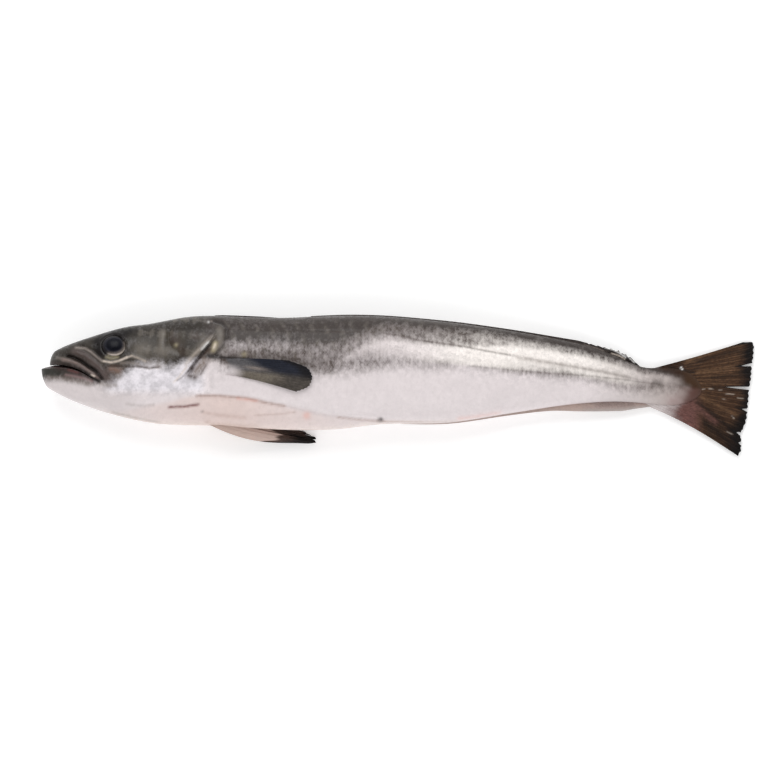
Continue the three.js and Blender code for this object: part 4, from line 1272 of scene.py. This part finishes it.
def fin_finish(tree, look):
    """Thin wet fin: the points' tint with fine grain along its rays, and a bump of the same grain."""
    uv = uv_place(tree, "fin")
    grain = mottled(tree, uv, scale=130.0, stretch=0.12, sharpness=0.5)
    spots = mottled(tree, object_place(tree), scale=700.0, stretch=1.0, sharpness=0.5)
    tint, ray = attribute(tree, "tint", "Color"), attribute(tree, "ray")
    # The root is smoother than the rays, and a pale fin smoother than a dark one.
    depth = node(tree, "ShaderNodeRGBToBW", Color=tint).outputs[0]
    rayed = ranged(tree, ray, 0.0, 0.6, 0.15, 1.0)
    uneven = total(tree, grain, product(tree, spots, 0.5), -0.75)
    uneven = product(tree, uneven, rayed, ranged(tree, depth, 0.02, 0.4, 0.8, 0.1))
    # Each ray is made of short segments, which show as fine bands across it.
    along = node(tree, "ShaderNodeSeparateXYZ", Vector=uv).outputs[0]
    bands = product(tree, maths(tree, "SINE", product(tree, along, 230.0)), ray, 0.35)
    height = total(tree, product(tree, total(tree, grain, product(tree, spots, 0.3)), rayed), bands)
    return {
        "Base Color": toned(tree, tint, total(tree, uneven, 1.0)),
        "Roughness": ranged(tree, spots, 0.0, 1.0, look.roughness, look.roughness + 0.16),
        "Coat Weight": look.wetness * 0.35,
        "Coat Roughness": 0.2,
        "Coat IOR": 1.34,
        "Specular IOR Level": 0.1,
        "Normal": bumped(tree, height, strength=0.5, distance=0.0003),
    }


def eye_finish(tree, look):
    """Wet eyeball: its points' tint, clouded a little, under a clear hard coat."""
    cloud = mottled(tree, object_place(tree), scale=420.0, stretch=1.0, sharpness=0.3)
    return {
        "Base Color": toned(tree, attribute(tree, "tint", "Color"), ranged(tree, cloud, 0.0, 1.0, 0.8, 1.25)),
        "Roughness": ranged(tree, cloud, 0.0, 1.0, 0.26, 0.38),
        "Coat Weight": look.wetness * 0.15,
        "Coat Roughness": 0.12,
        "Coat IOR": 1.38,
        "Specular IOR Level": 0.12,
    }


def table_finish(tree, stage):
    """Pale matt table: nearly even, with a faint glow of its own that keeps it light."""
    pale = (*stage.table, 1)
    clouded = tuple(0.99 * value for value in stage.table) + (1,)
    clouds = mottled(tree, object_place(tree), scale=6.0, stretch=1.0, sharpness=0.0)
    return {
        "Base Color": blended(tree, pale, clouded, clouds),
        "Roughness": 0.9,
        "Specular IOR Level": 0.1,
        "Emission Color": pale,
        "Emission Strength": stage.glow,
    }


# ---- What the sidebar holds --------------------------------------------------------------------
def linear(red, green, blue):
    """A colour from its three display numbers, 0 to 255, as linear light."""
    shares = np.array([red, green, blue]) / 255
    light = np.where(shares <= 0.04045, shares / 12.92, ((shares + 0.055) / 1.055) ** 2.4)
    return tuple(light.tolist())


def colour(name, description, red, green, blue):
    """A colour property with its default."""
    limits = {"subtype": "COLOR", "size": 3, "min": 0, "max": 1}
    return FloatVectorProperty(name=name, description=description, default=linear(red, green, blue), **limits)


def length(name, description, default):
    """A property in metres."""
    return FloatProperty(name=name, description=description, default=default, unit="LENGTH")


def factor(name, description, default):
    """A property from 0 to 1."""
    return FloatProperty(name=name, description=description, default=default, subtype="FACTOR", min=0, max=1)


def strength(name, description, default):
    """A property from 0 up."""
    return FloatProperty(name=name, description=description, default=default, min=0)


class HakeSizes(bpy.types.PropertyGroup):
    """Sizes of the fish's small forms."""

    gill_lip: length("Gill cover's edge", "How far the gill cover's edge stands out", 0.0011)
    gill_flap: length("Gill flap", "Width of the flap behind the gill cover's rim", 0.0028)
    gill_slit: length("Gill slit", "Depth of the slit behind the gill cover", 0.002)
    ray_relief: length("Ray ridges", "How far fin rays stand over the membrane", 0.00045)
    fringe: length("Fringe", "Depth of the scallops in the fins' margins", 0.0005)
    cornea: length("Cornea", "How far the eye's middle bulges over its ball", 0.0003)


class HakeColours(bpy.types.PropertyGroup):
    """Colours of the fish."""

    back: colour("Back", "Dark grey-brown of the back", 62, 55, 52)
    flank: colour("Flank", "Pigment of the mottled flank", 79, 70, 66)
    silver: colour("Silver", "Bright band along the flank", 244, 237, 232)
    belly: colour("Belly", "Lilac white of the belly", 223, 214, 215)
    throat: colour("Throat", "Pinkish cream of the throat and belly's edge", 219, 199, 193)
    head: colour("Head", "Olive grey of the head", 47, 42, 37)
    cheek: colour("Cheek", "Silver white of the cheek", 226, 221, 226)
    stem: colour("Stem", "Grey of the tail's stem", 178, 167, 163)
    # Also the pale streak of painted highlight on the pectoral fin.
    ash: colour("Ash", "Grey brown of soft lines", 140, 129, 122)
    # Also painted sheen in part of the pale patches behind the eye, and painted shade that dulls the light on
    # the gill lip's top face.
    stone: colour("Stone", "Pale grey patches of the head", 124, 117, 109)
    maxilla: colour("Maxilla", "Mauve brown of the bone over the mouth", 84, 72, 69)
    lip: colour("Lip", "Mauve of the upper lip", 124, 108, 103)
    gum: colour("Gum", "Dark red of the mouth's inside", 62, 48, 47)
    rosy: colour("Rosy", "Mauve pink of the lower lip", 156, 130, 128)
    jaw_tip: colour("Jaw's tip", "Dark olive of the lower jaw's tip", 46, 46, 41)
    # Painted shade in folds, grooves, the mouth's slit, the vent and nostrils, and the painted shadow along
    # the pectoral fin, as well as the dark of the back fin's torn rear.
    shadow: colour("Dark line", "Nearly black folds and lines", 26, 20, 18)
    line: colour("Brow", "Olive black round the eye", 32, 31, 25)
    # Also painted shade in the gill slit.
    umber: colour("Umber", "Dark brown lines", 66, 52, 45)
    # Also a painted highlight on the gill cover's edge, a painted highlight on the top of the shoulder and a
    # painted glint on the tail fin.
    bright: colour("Bright edge", "White edge of the gill cover", 247, 245, 243)
    # Also painted glints on the tail fin.
    cream: colour("Cream", "Pale ridges of bone", 222, 207, 194)
    membrane: colour("Membrane", "Beige skin in the gill slit", 124, 110, 102)
    ochre: colour("Ochre", "Yellowish patches", 168, 157, 128)
    olive: colour("Olive", "Olive patches", 46, 38, 24)
    rust: colour("Rust", "Brown folds", 158, 124, 110)
    blood: colour("Blood", "Dark red of the throat slit", 120, 70, 68)
    orange: colour("Orange", "Orange pink spots", 226, 164, 150)
    caudal: colour("Tail fin", "Dark brown of the tail fin", 50, 31, 20)
    caudal_ray: colour("Tail fin's rays", "Olive brown of the tail fin's rays", 108, 80, 57)
    caudal_root: colour("Tail fin's root", "Reddish grey of the tail fin's root", 98, 70, 64)
    caudal_low: colour("Tail fin's low root", "Reddish brown low on the tail fin's root", 104, 71, 66)
    # Also painted shade over the eyeball's upper edge, under the brow.
    fin_black: colour("Fin's margin", "Black of the fins' margins", 16, 11, 10)
    pectoral: colour("Pectoral fin", "Blue black of the pectoral fin", 32, 35, 46)
    pectoral_ray: colour("Pectoral fin's rays", "Olive grey of the pectoral fin's rays", 76, 70, 65)
    pectoral_low: colour("Pectoral fin's low part", "Khaki of the pectoral fin's low part", 112, 104, 94)
    pectoral_front: colour("Pectoral fin's front", "Slate grey of the pectoral fin's front", 92, 90, 92)
    pelvic: colour("Pelvic fin", "Pinkish beige of the pelvic fins", 196, 172, 162)
    pelvic_tip: colour("Pelvic fin's end", "Dark brown of the pelvic fins' ends", 68, 52, 46)
    anal: colour("Anal fin", "Mauve brown of the anal fin", 164, 145, 140)
    pupil: colour("Pupil", "Blue black of the eye's middle", 8, 9, 18)
    iris: colour("Iris", "Dark slate round the pupil", 34, 34, 42)


class HakeLook(bpy.types.PropertyGroup):
    """Finish of the skin."""

    scale_pitch: length("Scale pitch", "Length of a scale", 0.0021)
    scale_edge: factor("Scale edges", "How dark the scales' rear edges are", 0.12)
    mottling: strength("Mottling", "How far the pigment breaks up into flecks", 0.62)
    roughness: factor("Roughness", "Roughness of the wet skin", 0.34)
    wetness: factor("Wetness", "Strength of the film of water", 0.3)
    bump: factor("Bump", "Strength of the scales' relief", 0.5)


class HakeStage(bpy.types.PropertyGroup):
    """Table, light and camera."""

    table: colour("Table", "Pale table", 246, 246, 246)
    view_width: length("View's width", "Width that the camera sees at the fish's middle", 0.4312)
    view_x: length("View's middle, x", "Middle of the view along the fish", -0.00784)
    view_y: length("View's middle, y", "Middle of the view across the fish", 0.00084)
    lens: FloatProperty(name="Lens", description="Focal length in millimetres", default=250, unit="CAMERA")
    sky: strength("Sky", "Strength of the even light from all round", 1.0)
    key: strength("Key light", "Power of the large lamp behind the back, in watts", 8)
    fill: strength("Fill light", "Power of the large lamp before the belly, in watts", 5)
    glow: strength("Table's glow", "Light that the table gives off by itself", 0.3)
    detail: IntProperty(
        name="Fin detail", description="Columns of points on each fin ray", default=12, min=4, max=16
    )


# ---- Pieces ------------------------------------------------------------------------------------
def add_fin(name, x, y, z, thick, values):
    """Adds a fin as a closed sheet about its middle surface."""
    mesh = joined_mesh(name, closed_sheet(x, y, z, thick, values), "fin")
    material = material_of("hake fin", fin_finish, bpy.context.scene.hake_look)
    add_piece(name, mesh, material, "hake", FIN_SHARP_ANGLE)


class HAKE_OT_skin(bpy.types.Operator):
    """Add the skin of the head and body, with its mouth"""

    bl_idname = "hake.skin"
    bl_label = "Skin"

    def execute(self, context):
        sizes = context.scene.hake_sizes
        patches = []
        for side in (1, -1):
            tip = SNOUT_TIP if side > 0 else JAW_TIP
            jaw = from_tip(tip, MOUTH_CORNER, JAW_STEPS)
            outer = outer_half(jaw, side, sizes)
            inner = lining(jaw, side)
            patches.append(Patch(outer, side < 0, **skin_values(outer, along_skin(outer, side))))
            patches.append(Patch(inner, side > 0, **mouth_values(inner)))
            for last, turned in ((0, side > 0), (-1, side < 0)):
                lip = lips(outer[:, last], inner[:, last], side)
                patches.append(Patch(lip, turned, **skin_values(lip, lip[..., :2] * MM)))
            trunk = outer_half(trunk_stations(), side, sizes)
            patches.append(Patch(trunk, side < 0, **skin_values(trunk, along_skin(trunk, side))))
            share = np.linspace(0, 1, THROAT_STEPS + 1)
            throat = lining(MOUTH_CORNER + THROAT_DEPTH * share, side, np.sqrt(clamp(1 - share**2)))
            patches.append(Patch(throat, side > 0, **mouth_values(throat)))
        material = material_of("hake skin", skin_finish, context.scene.hake_look)
        add_piece("skin", joined_mesh("skin", patches), material, "hake")
        return {"FINISHED"}


class HAKE_OT_caudal_fin(bpy.types.Operator):
    """Add the fan of the tail fin, split and ragged"""

    bl_idname = "hake.caudal_fin"
    bl_label = "Tail fin"

    def execute(self, context):
        sizes = context.scene.hake_sizes
        along, across = fin_grid(CAUDAL, context.scene.hake_stage.detail)
        x, y = fan_plan(CAUDAL, along, across, sizes.fringe / MM)
        wavy = CAUDAL["wave"] * np.sin(9 * across + 2 * along) * along
        z = mix(midplane(150), CAUDAL["margin_height"], along**0.7) + wavy
        thick = rayed_thickness(CAUDAL, along, across, sizes.ray_relief / MM)
        values = fin_values(CAUDAL, along, across)
        # Its low part is darker, and round the root it has the stem's colours.
        low = 0.55 * rise(across, 0.34, 0.14) * rise(along, 0.45, 0.75)
        tint = layers(values["tint"], [("fin_black", low)])
        stem = mix(tint_of("stem"), tint_of("belly"), 0.5)
        stem = mix(stem, tail_root(x, y), stem_ended(x, y)[..., None])
        tint = mix(stem, tint, fin_own(x, y)[..., None])
        values["tint"] = marked(tint, x, y, GLINTS)
        add_fin("caudal_fin", x, y, z, thick, values)
        return {"FINISHED"}


class HAKE_OT_pectoral_fins(bpy.types.Operator):
    """Add the fins behind the gill covers, laid back along the flanks"""

    bl_idname = "hake.pectoral_fins"
    bl_label = "Pectoral fins"

    def execute(self, context):
        sizes = context.scene.hake_sizes
        along, across = fin_grid(PECTORAL, context.scene.hake_stage.detail)
        x, y = fan_plan(PECTORAL, along, across, sizes.fringe / MM)
        thick = rayed_thickness(PECTORAL, along, across, sizes.ray_relief / MM)
        values = fin_values(PECTORAL, along, across)
        values["tint"] = pectoral_tint(values, along, across)
        over = PECTORAL["lift"] * along**1.5 - PECTORAL["sink"] * (1 - along) ** 3
        heights = {
            "left": flank_height(x, y) + over,
            "right": np.maximum(HELD_UP["height"] - PECTORAL["right_drop"] + 0 * x, thick / 2),
        }
        for hand, z in heights.items():
            add_fin(f"pectoral_fin_{hand}", x, y, z, thick, values)
        return {"FINISHED"}


class HAKE_OT_pelvic_fins(bpy.types.Operator):
    """Add the fins under the throat, pale with a dark end"""

    bl_idname = "hake.pelvic_fins"
    bl_label = "Pelvic fins"

    def execute(self, context):
        sizes = context.scene.hake_sizes
        along, across = fin_grid(PELVIC, context.scene.hake_stage.detail)
        x, y = fan_plan(PELVIC, along, across, sizes.fringe / MM)
        thick = rayed_thickness(PELVIC, along, across, PELVIC["ray_share"] * sizes.ray_relief / MM)
        values = fin_values(PELVIC, along, across)
        tip = rise(along, 0.74, 0.88) * rise(across, 0.8, 0.4)
        values["tint"] = layers(values["tint"], [("fin_black", tip)])
        for hand, height in PELVIC["height"].items():
            z = curve(height)(along) + 0 * across
            if hand == "right":
                y = mix(y, middle(x), 0.05 * along)
                z = np.maximum(z, thick / 2)
            add_fin(f"pelvic_fin_{hand}", x, y, z, thick, values)
        return {"FINISHED"}


class HAKE_OT_folded_fins(bpy.types.Operator):
    """Add the fins of the back and belly, folded down along the body"""

    bl_idname = "hake.folded_fins"
    bl_label = "Folded fins"

    def execute(self, context):
        for name, fin in FOLDED_FINS.items():
            along, across = fin_grid(fin, context.scene.hake_stage.detail)
            above = fin["out"] > 0
            x = mix(fin["from"], fin["to"], 1 - across if above else across) + fin["lean"] * along
            torn = above * 0.22 * rise(x, 100, 108) * (1 + waves(1.7 * x, 0, seed=29, longest=6))
            stands = curve(fin["height"])(x) * (1 - torn)
            y = curve(fin["outline"])(x) + fin["out"] * mix(-FOLDED_SINK, stands, along)
            ray = ray_height(fin["rays"], along, across)
            thick = fin["thickness"] * mix(1, FOLDED_EDGE_SHARE, along) + 0.5 * (ray - 0.5) * along
            thick = thick * mix(FOLDED_END_SHARE, 1, rise(np.minimum(across, 1 - across), 0, 0.05))
            values = fin_values(fin, along, across)
            # The back's fin darkens towards its torn rear, and the belly's is paler in front.
            tint = layers(values["tint"], [
                ("shadow", above * rise(x, 92, 122) * mix(0.85, 0.35, ray)),
                ("pelvic", (1 - above) * 0.6 * rise(x, 110, 96)),
            ])
            values["tint"] = marked(tint, x, y, STRANDS)
            add_fin(name, x, y, midplane(x), thick, values)
        return {"FINISHED"}


class HAKE_OT_eyes(bpy.types.Operator):
    """Add both eyeballs, each with its pupil, iris and bulging cornea"""

    bl_idname = "hake.eyes"
    bl_label = "Eyes"

    def execute(self, context):
        material = material_of("hake eye", eye_finish, context.scene.hake_look)
        for hand, sign in (("left", 1), ("right", -1)):
            low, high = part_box(f"eye_{hand}")
            centre = (np.array(low) + high) / 2 / MM
            mesh = joined_mesh(f"eyeball_{hand}", [self.ball(centre, EYE["half"], sign)])
            add_piece(f"eyeball_{hand}", mesh, material, f"eye_{hand}")
        return {"FINISHED"}

    def ball(self, centre, half, hand):
        """An ellipsoid over two angles, turn round its axis and fall from it. Its middle bulges by a
        bell over the fall. It leans as the head's side does there."""
        rows, columns = EYE["divisions"]
        fall = np.linspace(0, np.pi, rows + 1)[:, None]
        turn = np.linspace(0, 2 * np.pi, columns + 1)[None]
        bulge = bpy.context.scene.hake_sizes.cornea / MM * bell(fall, 0.75)
        along = half[0] * np.sin(fall) * np.cos(turn)
        up = half[1] * np.sin(fall) * np.sin(turn)
        out = (half[2] * np.cos(fall) + bulge) + 0 * turn
        y, reach, width, power = half_section(np.array(EYE["x"], float), 1)
        level = (EYE["y"] - y) / reach
        flat = (1 - level**power) ** (1 / power)
        tilt = np.arctan2(level ** (power - 1) / reach, flat ** (power - 1) / width)
        points = np.stack([
            centre[0] + along,
            centre[1] + up * np.cos(tilt) + out * np.sin(tilt),
            centre[2] + hand * (out * np.cos(tilt) - up * np.sin(tilt)),
        ], -1)
        # The pupil and iris sit a little high in the ball. Its pale rings show only along the lower edge, and
        # painted shade under the brow darkens its upper edge.
        iris = EYE["iris"]
        away = np.hypot(along / iris["half"][0], (up - iris["raised"]) / iris["half"][1])
        lower = rise(0.75 * along - up, -0.4, 3.6)
        tint = layers(tint_of("pupil"), [
            ("iris", rise(away, 0.62, 0.82)),
            ("fin_black", 0.7 * bell(away - 0.9, 0.07)),
            ("ash", 0.34 * bell(away - 0.9, 0.12) * lower),
            ("cream", 0.55 * bell(away - 1.03, 0.07) * lower),
            ("ochre", 0.85 * rise(away, 1.1, 1.16) * lower),
            # Painted shade under the brow, over the ball's upper edge.
            ("fin_black", rise(away, 0.9, 1.04) * (1 - lower)),
        ])
        return Patch(points, hand < 0, uv=np.stack([fall + 0 * turn, turn + 0 * fall], -1), tint=tint)


class HAKE_OT_stage(bpy.types.Operator):
    """Add the pale table, the soft lights and the camera straight above"""

    bl_idname = "hake.stage"
    bl_label = "Stage"

    def execute(self, context):
        scene, stage = context.scene, context.scene.hake_stage
        self.table(stage)
        sky = bpy.data.worlds.new("even light")
        sky.use_nodes = True
        self.soft_sky(sky.node_tree, stage.sky)
        scene.world = sky
        self.lamp("key", stage.key, KEY_PLACE, KEY_SIZE)
        self.lamp("fill", stage.fill, FILL_PLACE, FILL_SIZE)
        camera = bpy.data.objects.new("camera", bpy.data.cameras.new("camera"))
        scene.collection.objects.link(camera)
        camera.data.lens = stage.lens
        camera.data.sensor_width = SENSOR_WIDTH
        away = stage.view_width * stage.lens / SENSOR_WIDTH
        camera.location = (stage.view_x, stage.view_y, float(midplane(VIEW_STATION)) * MM + away)
        camera.data.clip_end = 10 * away
        scene.camera = camera
        scene.view_settings.view_transform = "Standard"
        return {"FINISHED"}

    def soft_sky(self, tree, strength):
        """Even light that falls off towards the zenith, so that wet skin doesn't wash out from above."""
        direction = node(tree, "ShaderNodeTexCoord").outputs["Generated"]
        up = node(tree, "ShaderNodeSeparateXYZ", Vector=direction).outputs[2]
        light = ranged(tree, up, 0.35, 0.95, strength, strength * 0.3)
        shade = tree.nodes["Background"]
        shade.inputs["Color"].default_value = (1, 1, 1, 1)
        tree.links.new(light, shade.inputs["Strength"])

    def table(self, stage):
        """A wide flat table whose top is just under the fish."""
        half, top = TABLE_HALF, TABLE_TOP
        mesh = bpy.data.meshes.new("table")
        corners = [(-half, -half, top), (half, -half, top), (half, half, top), (-half, half, top)]
        mesh.from_pydata(corners, [], [(0, 1, 2, 3)])
        mesh.materials.append(material_of("table", table_finish, stage))
        table = bpy.data.objects.new("table", mesh)
        bpy.context.scene.collection.objects.link(table)

    def lamp(self, name, power, place, size):
        """A square lamp that faces the fish's middle."""
        data = bpy.data.lights.new(name, "AREA")
        data.energy = power
        data.size = size
        lamp = bpy.data.objects.new(name, data)
        bpy.context.scene.collection.objects.link(lamp)
        lamp.location = place
        away = np.array(place) / np.linalg.norm(place)
        lamp.rotation_euler = (math.acos(away[2]), 0, math.atan2(away[0], -away[1]))


STEPS = (
    HAKE_OT_stage,
    HAKE_OT_skin,
    HAKE_OT_caudal_fin,
    HAKE_OT_pectoral_fins,
    HAKE_OT_pelvic_fins,
    HAKE_OT_folded_fins,
    HAKE_OT_eyes,
)


class HAKE_PT_pieces(bpy.types.Panel):
    """Lists the steps that build the fish"""

    bl_label = "Small hake"
    bl_idname = "HAKE_PT_pieces"
    bl_space_type = "VIEW_3D"
    bl_region_type = "UI"
    bl_category = "Hake"

    def draw(self, context):
        for operator in STEPS:
            self.layout.operator(operator.bl_idname)


GROUPS = {
    "hake_sizes": HakeSizes,
    "hake_colours": HakeColours,
    "hake_look": HakeLook,
    "hake_stage": HakeStage,
}
CLASSES = (*GROUPS.values(), *STEPS, HAKE_PT_pieces)


def register():
    """Registers the classes and gives the scene its settings."""
    for kind in CLASSES:
        bpy.utils.register_class(kind)
    for name, kind in GROUPS.items():
        setattr(bpy.types.Scene, name, PointerProperty(type=kind))


def unregister():
    """Takes the settings and the classes away again."""
    for name in GROUPS:
        delattr(bpy.types.Scene, name)
    for kind in reversed(CLASSES):
        bpy.utils.unregister_class(kind)


def main():
    """Builds the stage and every piece."""
    register()
    for operator in STEPS:
        area, action = operator.bl_idname.split(".")
        getattr(getattr(bpy.ops, area), action)()


if __name__ == "__main__":
    main()
